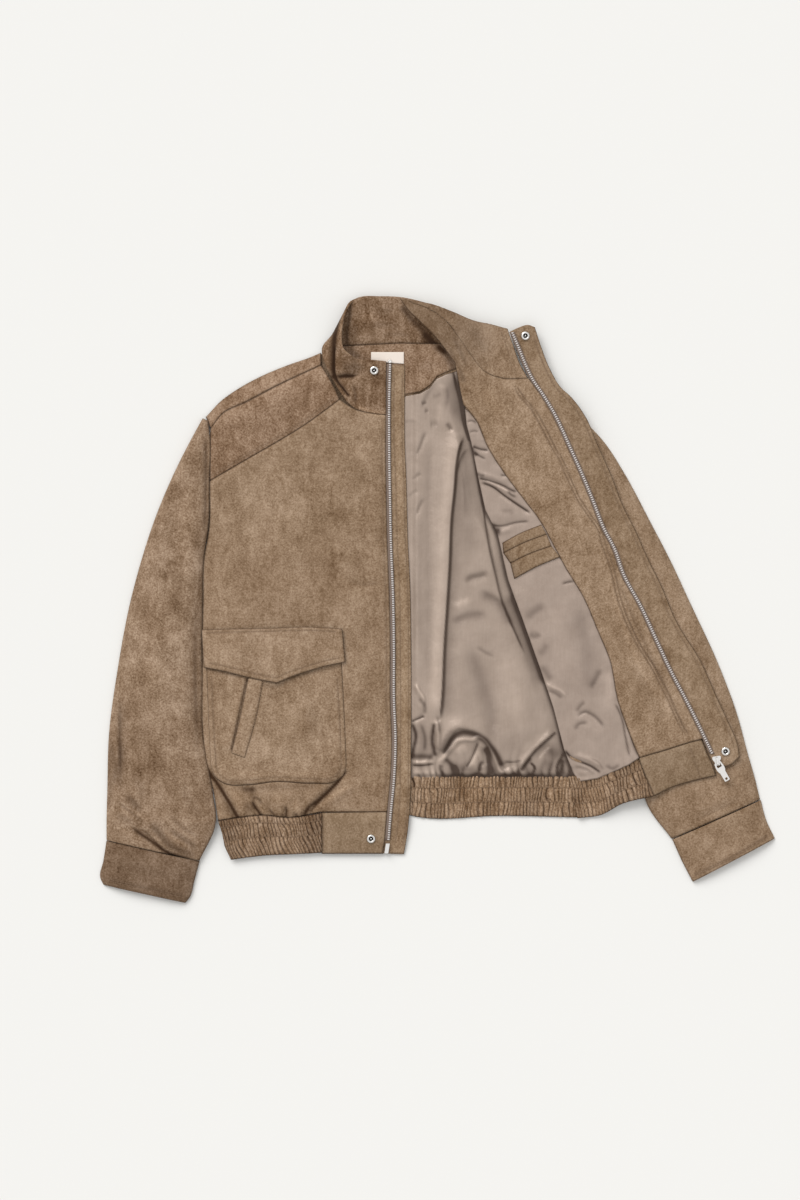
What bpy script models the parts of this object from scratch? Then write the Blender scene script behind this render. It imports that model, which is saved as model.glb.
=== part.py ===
"""A suede blouson laid flat, its right front closed and its left front opened out over the sleeve.

Lengths in the tables are millimetres on the table top: x to the viewer's right, y towards the
collar, z up from the surface that the jacket lies on.  "Right" and "left" are the wearer's own.
Every cloth piece is a grid of cells bent into shape and given a wall with Solidify.
"""
import math

import bmesh
import bpy
import numpy as np

MM = 0.001

# ---- driving sizes, in millimetres ------------------------------------------------------------
SUEDE = 1.4             # wall of the suede shell, facings and bands
SATIN = 1.0             # wall of the satin lining
COLLAR = 2.6            # outer and inner collar with the interfacing between them
TAB = 2.4               # doubled suede at the plain ends of the hem
ELASTIC = 4.2           # hem gathered on its elastic
TAPE = 1.0              # zip tape
CHAIN = 1.2             # height of the zip chain above its tape
SEAM = 0.3              # room left between neighbours that are sewn together
LAP = 0.4               # room left between cloth that only lies on cloth

FLOOR_LAYER = SUEDE / 2                      # middle of a wall that lies on the surface
LINING_LAYER = SUEDE + SEAM + SATIN / 2
FACING_LAYER = SUEDE + SEAM + SUEDE / 2      # the facing behind the neck
FOLD_LAYER = SUEDE + SEAM + SUEDE / 2        # a front where it folds round to the back
FRONT_CROWN = 12.0      # how high the closed front stands, at its middle
ARMHOLE_LIFT = 5.0      # how much higher it stands along the armhole than along the side fold
ARMHOLE_FOOT = 45.0     # height on the table top at which the armhole starts
ARMHOLE_RISE = 70.0     # the lift is full this far above the armhole's foot
SIDE_RISE = 60.0        # the closed front reaches its crown this far from the side fold
ZIP_RISE = 75.0         # and this far from the zip
SLEEVE_UNDER_FRONT = 14.0    # how high the opened front lies over the left sleeve
SLEEVE_EDGE_ROOM = 4.0  # it reaches that height this far inside the sleeve's edge
OVER_LINING = 4.2       # how high it lies where it is still over the back's lining
BACK_HEM = 234          # the back's lining ends this far below the middle
HEM_RISE = 45.0         # a front rises to its full height in this distance from its hem
UNDERLAP_DROP = 2.2     # the placket behind the zip lies this far under the front edge
NECK_LIFT = 7.0         # the opened neck is propped up by the collar beneath it
NECK_POINT = (-16, 339)
NECK_REACH = 70.0

LAYER = SUEDE + SEAM    # one more thickness of suede sewn on top
EDGE_BACK = 4.5         # the front's edge stands this far back from the middle of the zip
TAPE_HALF = 3.6         # half width of the opened front's zip tape that shows
TAPE_EDGE = 3.0         # the closed front's tape ends this far past the middle of its zip
CHAIN_LIFT = (TAPE + CHAIN) / 2 + SEAM
CHAIN_HALF = 2.6        # half width of the chain
SMALL_PANEL = 12.0      # narrower panels are trimmed as if they were this wide

SNAP_RADIUS = 5.6       # press studs
COLLAR_STUD_FOOT = 11.8 # the collar's stud stands this high
STOP_RADIUS = 2.4       # the zip's round top stop
SLIDER_PLACE = (356, -205)
SLIDER_TURN = math.radians(-80)      # direction in which the left zip runs at its lower end
SLIDER_THICK = 3.4
BRIDGE_WINDOW = 2.6                  # room under the slider's bridge for the pull's bar
BRIDGE_WIDE = 1.8
PULL_TURN = math.radians(-60)        # direction in which the pull tab lies
PULL_THICK = 1.4
PULL_BAR_OUT = 3.0                   # the bar lies this far down the slider from its middle

# ---- seam lines, each a short list of (x, y) --------------------------------------------------
SIDE_RIGHT = [(-290, 218), (-291, 151), (-292, 88), (-299, 51), (-300, 0), (-300, -179),
              (-296, -211), (-287, -243), (-280, -282), (-277, -285), (-266, -330)]
SHOULDER_FOLD = [(-296, 234), (-276, 255), (-253, 271), (-221, 288), (-189, 301), (-163, 310),
                 (-149, 316)]
SHOULDER_SEAM = [(-290, 219), (-275, 238), (-244, 253), (-204, 274), (-149, 300)]
YOKE_SEAM = [(-291, 152), (-246, 178), (-163, 228), (-125, 256)]
NECK_SIDE_RIGHT = [(-149, 300), (-143, 291), (-134, 275), (-125, 256)]
NECK_FRONT_RIGHT = [(-125, 256), (-106, 244), (-85, 239)]
HEM_SEAM_RIGHT = [(-280, -282), (-253, -278), (-225, -275), (-189, -278), (-148, -271)]
ZIP_RIGHT = [(-61, 302), (-62, 256), (-62, 192), (-61, 128), (-60, 77), (-57, 0), (-56, -64),
             (-56, -128), (-54, -179), (-56, -230), (-60, -271), (-63, -307), (-66, -324)]
ZIP_LEFT = [(95, 342), (103, 323), (111, 303), (121, 282), (135, 261), (147, 241), (170, 192),
            (186, 156), (199, 124), (211, 93), (226, 64), (236, 35), (260, -10), (277, -47),
            (298, -92), (317, -128), (336, -166), (350, -196)]
SLEEVE_LEFT_INNER = [(171, 256), (171, 160), (172, 100), (180, 51), (193, 4), (236, -92),
                     (252, -147), (258, -201), (263, -256)]
FRONT_FOLD_LEFT = [(-40, 370), (-22, 353), (-4, 335), (12, 316), (22, 302), (30, 259),
                   (35, 224), (42, 201), (51, 156), (60, 115), (75, 83), (88, 26), (107, -26),
                   (132, -96), (147, -138), (161, -192), (168, -215), (172, -232), (180, -279)]
# the same fold, a little inside it, for the cloth that starts there
FOLD_INSIDE = [(26, 292), (34, 259), (39, 224), (45, 201), (54, 156), (63, 115), (79, 83),
               (92, 26), (111, -26), (136, -96), (150, -138), (164, -192), (176, -223)]
FACING_EDGE_LEFT = [(33, 250), (51, 227), (63, 198), (86, 161), (106, 134), (132, 99),
                    (148, 70), (163, 42), (186, 4), (204, -38), (220, -77), (230, -128),
                    (241, -160), (257, -201)]

# height of the middle of the closed front's free edge, down its length: (y, height)
EDGE_HEIGHTS = [(-328, 4.6), (-284, 8.6), (-230, 8.6), (-128, 6.2), (384, 6.2)]


def smooth(t):
    """0 to 1 with level ends: 3 t squared minus 2 t cubed."""
    t = np.clip(t, 0.0, 1.0)
    return t * t * (3.0 - 2.0 * t)


def rise(t):
    """0 to 1, steep at the start and level at the end: 1 minus (1 - t) squared."""
    t = np.clip(t, 0.0, 1.0)
    return 1.0 - (1.0 - t) ** 2


def mix(a, b, t):
    return a + (b - a) * t


def reading(line, at, along=1):
    """Read a line at a given y (along=1) for its x, or at a given x (along=0) for its y."""
    points = np.array([p[:2] for p in line], float)
    order = np.argsort(points[:, along])
    return np.interp(at, points[order, along], points[order, 1 - along])


def follow(line, t):
    """The point of a line at a share t of its length, for every t in an array."""
    points = np.array(line, float)
    steps = np.linalg.norm(np.diff(points[:, :2], axis=0), axis=1)
    share = np.concatenate([[0.0], np.cumsum(steps)]) / steps.sum()
    return np.stack([np.interp(t, share, points[:, i]) for i in range(points.shape[1])], axis=-1)


def shifted(line, dx, dy=0.0):
    return [(p[0] + dx, p[1] + dy) + tuple(p[2:]) for p in line]


# ---- heights of the layers --------------------------------------------------------------------
def edge_height(y):
    """Middle of the wall along the closed front's zip edge."""
    return reading([(h, y_) for y_, h in EDGE_HEIGHTS], y)


def front_height(x, y):
    """Middle of the closed front: a low dome, folded down at the side and at the shoulder,
    joined to the sleeve at the armhole, and let down to the zip edge and to the hem."""
    low = FOLD_LAYER + ARMHOLE_LIFT * smooth((y - ARMHOLE_FOOT) / ARMHOLE_RISE)
    z = low + (FRONT_CROWN - low) * rise((x - reading(SIDE_RIGHT, y)) / SIDE_RISE)
    below_fold = reading(SHOULDER_FOLD, x, along=0) - y
    z = FOLD_LAYER + (z - FOLD_LAYER) * rise(below_fold / HEM_RISE)
    above_hem = y - reading(HEM_SEAM_RIGHT, x, along=0)
    z = mix(edge_height(y), z, rise(above_hem / HEM_RISE))
    z = mix(edge_height(y), z, rise((reading(ZIP_RIGHT, y) - x) / ZIP_RISE))
    return z


def along_edge(x, y):
    return edge_height(y) + 0.0 * x


def underlap_height(x, y):
    return edge_height(y) - UNDERLAP_DROP + 0.0 * x


def opened_floor(x, y):
    """What the opened left front lies on: the lining beside the fold, then up over the sleeve."""
    start = reading(FRONT_FOLD_LEFT, y)
    finish = reading(SLEEVE_LEFT_INNER, y) + SLEEVE_EDGE_ROOM
    base = OVER_LINING * smooth((y + BACK_HEM) / HEM_RISE)
    z = mix(base, SLEEVE_UNDER_FRONT, smooth((x - start) / (finish - start)))
    away = np.hypot(x - NECK_POINT[0], y - NECK_POINT[1]) / NECK_REACH
    return z + NECK_LIFT * np.exp(-away * away)


def opened_shell(x, y):
    return opened_floor(x, y) + LAP + SUEDE / 2


def opened_facing(x, y):
    return opened_shell(x, y) + SUEDE + 2 * LAP


def flat_at(height):
    return lambda x, y: height + 0.0 * x


# the back lining's pleats, each a soft ridge from one point to another:
# (x and y at the top, x and y at the foot, half width, height)
PLEATS = [
    (19, 218, -2, -211, 16.0, 4.5),
    (-16, 166, -21, -128, 14.0, 1.6),
    (29, 0, 76, -186, 18.0, 3.0),
]


def lining_height(x, y):
    """The back lining lies on the back, with a few soft pleats that run down it."""
    z = LINING_LAYER + 0.0 * x
    for x0, y0, x1, y1, half, height in PLEATS:
        run = np.array([x1 - x0, y1 - y0])
        length = np.hypot(*run)
        run = run / length
        along = (x - x0) * run[0] + (y - y0) * run[1]
        across = (x - x0) * run[1] - (y - y0) * run[0]
        fade = smooth(along / 50.0) * smooth((length - along) / 30.0)
        z = z + height * fade * np.exp(-(across / half) ** 2)
    clear = smooth((reading(FRONT_FOLD_LEFT, y) - 8.0 - x) / 22.0)
    clear = clear * smooth((x + 25) / 12.0) * smooth((y + 224) / 25.0)
    return mix(LINING_LAYER, z, clear)


# ---- building ---------------------------------------------------------------------------------
def clear_scene():
    for item in list(bpy.data.objects):
        bpy.data.objects.remove(item, do_unlink=True)


def material(name, colour, roughness, metallic=0.0):
    made = bpy.data.materials.new(name)
    made.use_nodes = True
    shader = made.node_tree.nodes["Principled BSDF"]
    shader.inputs["Base Color"].default_value = (*colour, 1.0)
    shader.inputs["Roughness"].default_value = roughness
    shader.inputs["Metallic"].default_value = metallic
    return made


def grid_piece(name, cells, shape, wall, finish):
    """Bend a flat grid of cells into shape(u, v), in millimetres, and give it a wall."""
    mesh = bpy.data.meshes.new(name)
    work = bmesh.new()
    bmesh.ops.create_grid(work, x_segments=cells[0], y_segments=cells[1], size=0.5)
    place = np.array([v.co[:] for v in work.verts])
    bent = shape(place[:, 0] + 0.5, place[:, 1] + 0.5) * MM
    for vertex, spot in zip(work.verts, bent):
        vertex.co = spot
    work.to_mesh(mesh)
    work.free()
    piece = bpy.data.objects.new(name, mesh)
    GARMENT.objects.link(piece)
    mesh.materials.append(finish)
    solid = piece.modifiers.new("wall", "SOLIDIFY")
    solid.thickness = wall * MM
    solid.offset = 0.0
    return piece


def panel(name, left, right, finish, top=None, bottom=None, lay=None, lift=0.0, wall=None,
          cells=(4, 6), trim=SEAM / 2):
    """A panel between four seam lines: the left and right edges run down, the top and bottom
    edges run across, and a straight line stands for one that isn't given.  Each point is the
    sum of the two ways across less the plain blend of the corners.  lay gives its height."""
    wall = SUEDE if wall is None else wall
    top = top or [left[0], right[0]]
    bottom = bottom or [left[-1], right[-1]]

    def shape(u, v):
        corners = [np.array(p, float) for p in (left[0], right[0], left[-1], right[-1])]
        # the share of the panel's width and height that is trimmed off at each side
        wide = max(np.hypot(*(corners[1] - corners[0])[:2]), SMALL_PANEL)
        tall = max(np.hypot(*(corners[2] - corners[0])[:2]), SMALL_PANEL)
        u = trim / wide + u * (1 - 2 * trim / wide)
        v = trim / tall + v * (1 - 2 * trim / tall)
        a, b = u[:, None], v[:, None]
        down = mix(follow(left, v), follow(right, v), a)
        across = mix(follow(top, u), follow(bottom, u), b)
        blend = mix(mix(corners[0], corners[1], a), mix(corners[2], corners[3], a), b)
        points = down + across - blend
        if lay is not None:
            height = lay(points[:, 0], points[:, 1]) + lift
            points = np.column_stack([points[:, :2], height])
        return points

    return grid_piece(name, cells, shape, wall, finish)


def snap(name, foot, height, radius=SNAP_RADIUS):
    """A press stud: a low ring with a hollow middle, turned about its own axis."""
    share = radius / SNAP_RADIUS
    # columns: radius and height, down the outer side
    profile = [(0.0, 0.9), (2.0, 0.9), (2.6, 1.8), (4.6, 1.8), (5.6, 1.1), (5.6, 0.0), (0.0, 0.0)]
    mesh = bpy.data.meshes.new(name)
    points = [(r * share * MM, 0.0, h * share * MM) for r, h in profile]
    mesh.from_pydata(points, [(i, i + 1) for i in range(len(points) - 1)], [])
    piece = bpy.data.objects.new(name, mesh)
    GARMENT.objects.link(piece)
    mesh.materials.append(METAL)
    turn = piece.modifiers.new("turn", "SCREW")
    turn.angle = 2 * math.pi
    turn.steps = turn.render_steps = 14
    turn.use_merge_vertices = True
    turn.merge_threshold = 0.00001
    piece.location = (foot[0] * MM, foot[1] * MM, height * MM)
    return piece


def flat_outline(name, outlines, thick, finish=None):
    """A flat plate: closed outlines in its own plane, in millimetres, filled and thickened."""
    curve = bpy.data.curves.new(name, "CURVE")
    curve.dimensions = "2D"
    curve.fill_mode = "BOTH"
    curve.extrude = thick * MM / 2
    for outline in outlines:
        spline = curve.splines.new("POLY")
        spline.points.add(len(outline) - 1)
        for point, (x, y) in zip(spline.points, outline):
            point.co = (x * MM, y * MM, 0.0, 1.0)
        spline.use_cyclic_u = True
    if finish:
        curve.materials.append(finish)
    return bpy.data.objects.new(name, curve)


def as_mesh(curve_object, collection):
    """The same shape as a mesh with its caps welded on."""
    bpy.context.scene.collection.objects.link(curve_object)
    bpy.context.view_layer.update()
    seen = curve_object.evaluated_get(bpy.context.evaluated_depsgraph_get())
    mesh = bpy.data.meshes.new_from_object(seen)
    made = bpy.data.objects.new(curve_object.name, mesh)
    made.matrix_world = curve_object.matrix_world
    name = curve_object.name
    bpy.data.objects.remove(curve_object, do_unlink=True)
    made.name = name
    work = bmesh.new()
    work.from_mesh(mesh)
    bmesh.ops.remove_doubles(work, verts=work.verts, dist=0.00001)
    work.to_mesh(mesh)
    work.free()
    collection.objects.link(made)
    return made


def slider_and_pull():
    """The zip's slider, a wedge with a bridge on it, and the pull tab whose bar turns in the
    bridge.  The pull's origin is on the bar, and its local Y is the hinge axis."""
    x, y = SLIDER_PLACE
    foot = opened_shell(float(x), float(y)) + SUEDE / 2 + SEAM
    # down the slider and across it: wide at the crown, narrow where the chain comes out
    half = [(-6.0, 4.2), (-5.0, 5.4), (-2.6, 5.5), (1.0, 3.4), (6.0, 2.8)]
    outline = half + [(a, -b) for a, b in reversed(half)]
    body = as_mesh(flat_outline("zip_slider", [outline], SLIDER_THICK, METAL), GARMENT)
    body.location = (x * MM, y * MM, (foot + SLIDER_THICK / 2) * MM)
    body.rotation_euler = (0.0, 0.0, SLIDER_TURN)
    # the bridge from the side: an arch whose feet sink a little into the slider
    top = BRIDGE_WINDOW
    outer = [(-5.6, -0.6), (-5.6, top - 0.2), (-4.4, top + 1.2)]
    inner = [(-4.4, top), (-4.4, -0.6)]
    bridge_side = (outer + [(-a, b) for a, b in reversed(outer)]
                   + [(-a, b) for a, b in reversed(inner)] + inner)
    bridge = as_mesh(flat_outline("bridge_blank", [bridge_side], BRIDGE_WIDE), BLANKS)
    bridge.rotation_euler = (math.radians(90), 0.0, SLIDER_TURN)
    bridge.location = (x * MM, y * MM, (foot + SLIDER_THICK) * MM)
    bridge.hide_render = True
    bridge.display_type = "WIRE"
    union = body.modifiers.new("bridge", "BOOLEAN")
    union.operation = "UNION"
    union.object = bridge
    # the pull lies along local +X from its bar
    bar = PULL_THICK / 2
    side = [(-bar, 4.4), (4.0, 5.2), (8.0, 5.4), (11.0, 4.6), (13.0, 3.7), (24.5, 3.5), (25.5, 2.6)]
    outline = side + [(a, -b) for a, b in reversed(side)]
    slot = [(bar, 3.0), (bar, -3.0), (5.8, -3.0), (5.8, 3.0)]
    hole = [(21.0, 1.5), (21.0, -1.5), (24.0, -1.5), (24.0, 1.5)]
    pull = as_mesh(flat_outline("zip_pull", [outline, slot, hole], PULL_THICK, METAL), GARMENT)
    out = PULL_BAR_OUT
    pull.location = ((x + out * math.cos(SLIDER_TURN)) * MM, (y + out * math.sin(SLIDER_TURN)) * MM,
                     (foot + SLIDER_THICK + BRIDGE_WINDOW / 2) * MM)
    pull.rotation_euler = (0.0, 0.0, PULL_TURN)


def tube(name, rows, finish, inner_end, across=9):
    """A sleeve or cuff as it lies: a flat lower wall that turns up at the outer fold and comes
    back as a domed upper wall.  Each row is a section: its outer and inner points and its height.
    inner_end(x, y) is the height at which the upper wall meets the inner seam."""
    table = np.array(rows, float)
    # where the lower wall ends and the upper wall starts, as a share of the way round
    turn = 0.25
    # 2 would make the upper wall half an ellipse, and more makes it flatter on top
    rounding = 2.6

    def shape(u, v):
        station = v * (len(table) - 1)
        row = np.stack([np.interp(station, np.arange(len(table)), table[:, i]) for i in range(5)])
        upper = u > turn
        # 0 at the outer fold and 1 at the inner seam, on both walls
        t = np.where(upper, (u - turn) / (1 - turn), (turn - u) / turn)
        t = np.where(upper, 0.5 - 0.5 * np.cos(np.pi * t), t)
        x = mix(row[0], row[2], t)
        y = mix(row[1], row[3], t)
        arch = np.sqrt(np.clip(1 - np.abs(1 - 2 * t) ** rounding, 0, 1))
        base = mix(FLOOR_LAYER, inner_end(row[2], row[3]), t)
        z = np.where(upper, base + (row[4] - base) * arch, FLOOR_LAYER)
        return np.column_stack([x, y, z])

    lower_cells = max(1, round(across * turn / (1 - turn)))
    bands = len(rows) - 1
    cells = (across + lower_cells, 2 * bands if bands > 4 else bands)
    return grid_piece(name, cells, shape, SUEDE, finish)


def shell_and_sleeves():
    """The brown cloth of the body and the two sleeves."""
    panel("back",
          [(-143, 317), (-221, 285), (-286, 238), (-289, 166), (-294, 70), (-296, 0),
           (-296, -179), (-287, -226)],
          [(16, 317), (94, 285), (164, 238), (166, 166), (167, 70), (171, 0),
           (171, -179), (171, -226)],
          BROWN, lay=flat_at(FLOOR_LAYER), cells=(4, 9))
    panel("shoulder_right", [SHOULDER_FOLD[0], SHOULDER_SEAM[0]],
          [SHOULDER_FOLD[-1], SHOULDER_SEAM[-1]], BROWN, top=SHOULDER_FOLD,
          bottom=SHOULDER_SEAM, lay=front_height, cells=(8, 2))
    panel("yoke_right", [SHOULDER_SEAM[0], YOKE_SEAM[0]], NECK_SIDE_RIGHT, BROWN,
          top=SHOULDER_SEAM, bottom=YOKE_SEAM, lay=front_height, cells=(8, 4))
    edge = shifted(ZIP_RIGHT, -EDGE_BACK)
    panel("front_right", SIDE_RIGHT[1:9], [(-66, 237)] + edge[2:11], BROWN,
          top=YOKE_SEAM + NECK_FRONT_RIGHT[1:] + [(-66, 237)],
          bottom=HEM_SEAM_RIGHT + [edge[10]], lay=front_height, cells=(9, 13))
    # columns: outer x, outer y, inner x, inner y, height of the upper wall
    right = [(*a, *b, h) for a, b, h in zip(
        [(-300, 232), (-317, 201), (-337, 161), (-362, 101), (-380, 45), (-391, 4), (-409, -90),
         (-420, -173), (-422, -243), (-423, -282), (-423, -307)],
        [(-295, 229), (-293, 201), (-293, 159), (-295, 100), (-300, 49), (-302, 4), (-302, -92),
         (-301, -179), (-290, -247), (-285, -284), (-305, -333)],
        (8, 11, 12.5, 14, 15, 15, 15, 15, 16, 16, 12))]
    tube("sleeve_right", right, BROWN, front_height)
    cuff = [(*a, *b, h) for a, b, h in zip(
        [(-423, -308), (-427, -334), (-431, -360)],
        [(-305, -334), (-312, -360), (-319, -387)],
        (12, 11, 9))]
    tube("cuff_right", cuff, BROWN, flat_at(FOLD_LAYER), across=8)
    left = [(*a, *b, h) for a, b, h in zip(
        [(185, 232), (214, 200), (239, 161), (271, 101), (300, 45), (319, 4), (362, -90),
         (383, -147), (396, -195), (406, -230), (412, -255)],
        [(172, 228), (171, 202), (171, 160), (172, 100), (180, 51), (193, 4), (236, -92),
         (252, -147), (258, -201), (269, -262), (300, -305)],
        (6, 8, 10, 11.5, 12.5, 12.5, 12.5, 12.5, 12.5, 12.5, 10.5))]
    tube("sleeve_left", left, BROWN, flat_at(FOLD_LAYER))
    cuff = [(*a, *b, h) for a, b, h in zip(
        [(413, -256), (420, -282), (431, -305)],
        [(301, -306), (313, -333), (327, -360)],
        (11, 10, 8))]
    tube("cuff_left", cuff, BROWN, flat_at(FOLD_LAYER), across=8)


def pocket():
    """A patch pocket with a slanted welt, under a pointed flap, moved out from the front."""
    panel("pocket_patch", [(-296, -54), (-294, -115), (-290, -192), (-286, -219)],
          [(-124, -54), (-121, -115), (-118, -192), (-120, -219)], BROWN,
          bottom=[(-286, -219), (-275, -234), (-240, -236), (-208, -233), (-163, -234),
                  (-131, -230), (-120, -219)],
          lay=front_height, lift=1 * LAYER, cells=(7, 6))
    panel("pocket_welt",
          [(-237, -92), (-253, -154), (-263, -195)], [(-221, -92), (-231, -147), (-246, -201)],
          BROWN, lay=front_height, lift=2 * LAYER, cells=(1, 4))
    panel("pocket_flap",
          [(-300, -38), (-299, -64), (-296, -86)], [(-122, -37), (-120, -64), (-118, -79)], BROWN,
          bottom=[(-296, -86), (-272, -91), (-240, -99), (-207, -106), (-163, -91), (-118, -79)],
          lay=front_height, lift=3 * LAYER, cells=(6, 2))


def closed_front_edge():
    """The placket behind the zip, the zip tape and the zip's own chain, with its stop and pin."""
    placket_edge = [(-42, 300), (-42, 262), (-42, 205), (-40, 154), (-38, 77), (-35, 13),
                    (-34, -51), (-34, -192), (-35, -256), (-38, -294), (-43, -325)]
    panel("placket_right", shifted(ZIP_RIGHT, -EDGE_BACK - 3.0), placket_edge, BROWN,
          lay=underlap_height, cells=(2, 16))
    chain = ZIP_RIGHT[:-1]
    panel("zip_tape_right", shifted(chain, -EDGE_BACK + SEAM), shifted(chain, TAPE_EDGE),
          TAPE_CLOTH, lay=along_edge, wall=TAPE, cells=(1, 16))
    panel("zip_chain_right", shifted(chain, -CHAIN_HALF), shifted(chain, CHAIN_HALF), METAL,
          lay=along_edge, lift=CHAIN_LIFT, wall=CHAIN, cells=(1, 16))
    panel("zip_pin_right", [(-66, -311), (-68, -324)], [(-61, -311), (-63, -324)], METAL,
          lay=along_edge, lift=CHAIN_LIFT, wall=CHAIN, cells=(1, 1))
    snap("snap_hem_right", (-85, -305), front_height(-85.0, -305.0) + TAB - SUEDE / 2 + 2 * SEAM)
    snap("snap_collar_right", (-81, 293), COLLAR_STUD_FOOT)
    x, y = ZIP_RIGHT[0]
    snap("zip_stop_right", (x, y + 3.0), edge_height(float(y)) - TAPE / 2, radius=STOP_RADIUS)


def closed_hem():
    """The right front's hem: gathered on elastic, with a plain doubled tab at the zip."""
    panel("hem_elastic_right",
          [(-277, -285), (-273, -307), (-266, -330)], [(-149, -273), (-149, -324)], BROWN,
          top=HEM_SEAM_RIGHT[:4] + [(-149, -273)],
          bottom=[(-266, -330), (-214, -328), (-149, -324)],
          lay=front_height, lift=(ELASTIC - SUEDE) / 2, wall=ELASTIC, cells=(8, 2), trim=0.5)
    edge = shifted(ZIP_RIGHT, -EDGE_BACK)
    panel("hem_tab_right", [(-148, -273), (-148, -324)], [edge[10], edge[11], edge[12]], BROWN,
          lay=front_height, lift=(TAB - SUEDE) / 2, wall=TAB, cells=(4, 3), trim=0.5)
    panel("hem_back", [(-273, -227), (-275, -271)], [(170, -227), (176, -278)], BROWN,
          top=[(-273, -227), (-38, -227), (170, -227)],
          bottom=[(-275, -271), (-54, -271), (-22, -278), (176, -278)],
          lay=flat_at(ELASTIC / 2), wall=ELASTIC, cells=(8, 1), trim=0.5)


def inside():
    """What the open front shows of the back's inside: satin, the neck facing and its label."""
    panel("lining_back",
          [(-48, 259), (-49, 154), (-47, 51), (-44, -51), (-44, -225)],
          [(25, 293), (36, 256), (44, 218), (57, 166), (70, 122), (95, 51), (116, 0), (143, -77),
             (163, -154), (170, -225)],
          LINING,
          top=[(-48, 259), (-40, 261), (-22, 264), (-10, 271), (-1, 283), (12, 289), (25, 293)],
          lay=lining_height, wall=SATIN, cells=(9, 13))
    panel("neck_facing", [(-117, 328), (-84, 261)], [(19, 328), (24, 296)], BROWN,
          bottom=[(-84, 260), (-48, 260), (-40, 263), (-22, 266), (-10, 274), (-1, 286), (12, 292),
                    (24, 296)],
          lay=flat_at(FACING_LAYER), cells=(6, 2))
    panel("neck_label", [(-85, 317), (-85, 305)], [(-43, 317), (-43, 302)], LABEL,
          lay=flat_at(FACING_LAYER), lift=SUEDE / 2 + SEAM + SATIN / 2, wall=SATIN, cells=(1, 1))


def collar():
    """The stand collar, in three stretches: folded forward at the right front, lying open
    behind the neck, and running out along the opened left front.  Columns: x, y, height."""
    panel("collar_right",
          [(-66, 239, 6.8), (-85, 242, 9.0), (-106, 247, 10.5), (-121, 260, 11.0),
           (-131, 276, 10.0), (-140, 294, 8.0), (-147, 315, 7.0), (-147, 321, 7.0),
           (-135, 337, 8.0), (-122, 361, 9.0), (-111, 381, 9.0)],
          [(-66, 305, 6.8), (-86, 307, 10.0), (-103, 308, 14.0), (-113, 314, 18.0),
           (-120, 321, 20.0), (-122, 332, 21.0), (-122, 339, 21.0), (-121, 352, 20.0),
           (-117, 369, 17.0), (-112, 379, 13.0), (-108, 382, 11.0)],
          BROWN, wall=COLLAR, cells=(3, 12))
    panel("collar_back",
          [(-104, 383, 10.0), (-111, 367, 12.0), (-113, 351, 12.0), (-112, 332, 5.5)],
          [(13, 369, 8.0), (16, 356, 7.0), (19, 343, 6.0), (19, 330, 5.5)],
          BROWN,
          top=[(-104, 383, 10.0), (-74, 387, 9.0), (-48, 387, 9.0), (-16, 378, 9.0),
               (13, 369, 8.0)],
          wall=COLLAR, cells=(6, 3))
    panel("collar_left",
          [(-36, 381), (-10, 374)], [(89, 346), (97, 323), (104, 303), (115, 283)], BROWN,
          top=[(-36, 381), (-10, 378), (16, 369), (48, 356), (67, 352), (89, 346)],
          bottom=[(-10, 374), (15, 353), (29, 334), (44, 312), (62, 291), (80, 284), (115, 283)],
          lay=opened_facing, lift=(COLLAR - SUEDE) / 2, wall=COLLAR, cells=(7, 3), trim=0.6)


def opened_front():
    """The left front, turned inside up over its sleeve: shell, then facing and lining on it."""
    welt = shifted(ZIP_LEFT, -TAPE_HALF)
    panel("front_left", FOLD_INSIDE, shifted(ZIP_LEFT[3:17], -TAPE_HALF - 1.0), BROWN,
          bottom=[(176, -223), (208, -219), (259, -197), (323, -175)]
          + shifted(ZIP_LEFT[16:17], -TAPE_HALF - 1.0),
          lay=opened_shell, cells=(6, 16))
    panel("facing_left",
          [(-39, 370), (-22, 354), (-4, 337), (12, 317), (22, 303)] + FACING_EDGE_LEFT,
          [(-10, 371), (12, 351), (26, 332), (42, 310), (60, 288), (80, 281), (116, 280)]
          + welt[4:17] + [(338, -177)],
          BROWN, bottom=[(257, -201), (291, -191), (326, -180), (338, -177)],
          lay=opened_facing, cells=(4, 18), trim=0.5)
    fold = shifted(FOLD_INSIDE[3:], -1.5)
    panel("lining_left", [(39, 229)] + fold, [(47, 229)] + FACING_EDGE_LEFT[2:], LINING,
          bottom=fold[-1:] + [(204, -223), (223, -216), (244, -207), (257, -201)],
          lay=opened_facing, wall=SATIN, cells=(5, 14), trim=0.5)
    # columns: upper left, upper right, lower left and lower right corner
    bands = [("inner_welt_upper", (85, 74), (132, 95), (86, 61), (138, 83)),
             ("inner_welt_middle", (86, 60), (139, 81), (93, 49), (145, 70)),
             ("inner_welt_lower", (93, 47), (147, 68), (97, 31), (154, 55))]
    for name, upper_left, upper_right, lower_left, lower_right in bands:
        panel(name, [upper_left, lower_left], [upper_right, lower_right], BROWN,
              lay=opened_facing, lift=LAYER, wall=SATIN, cells=(3, 1))


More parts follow.
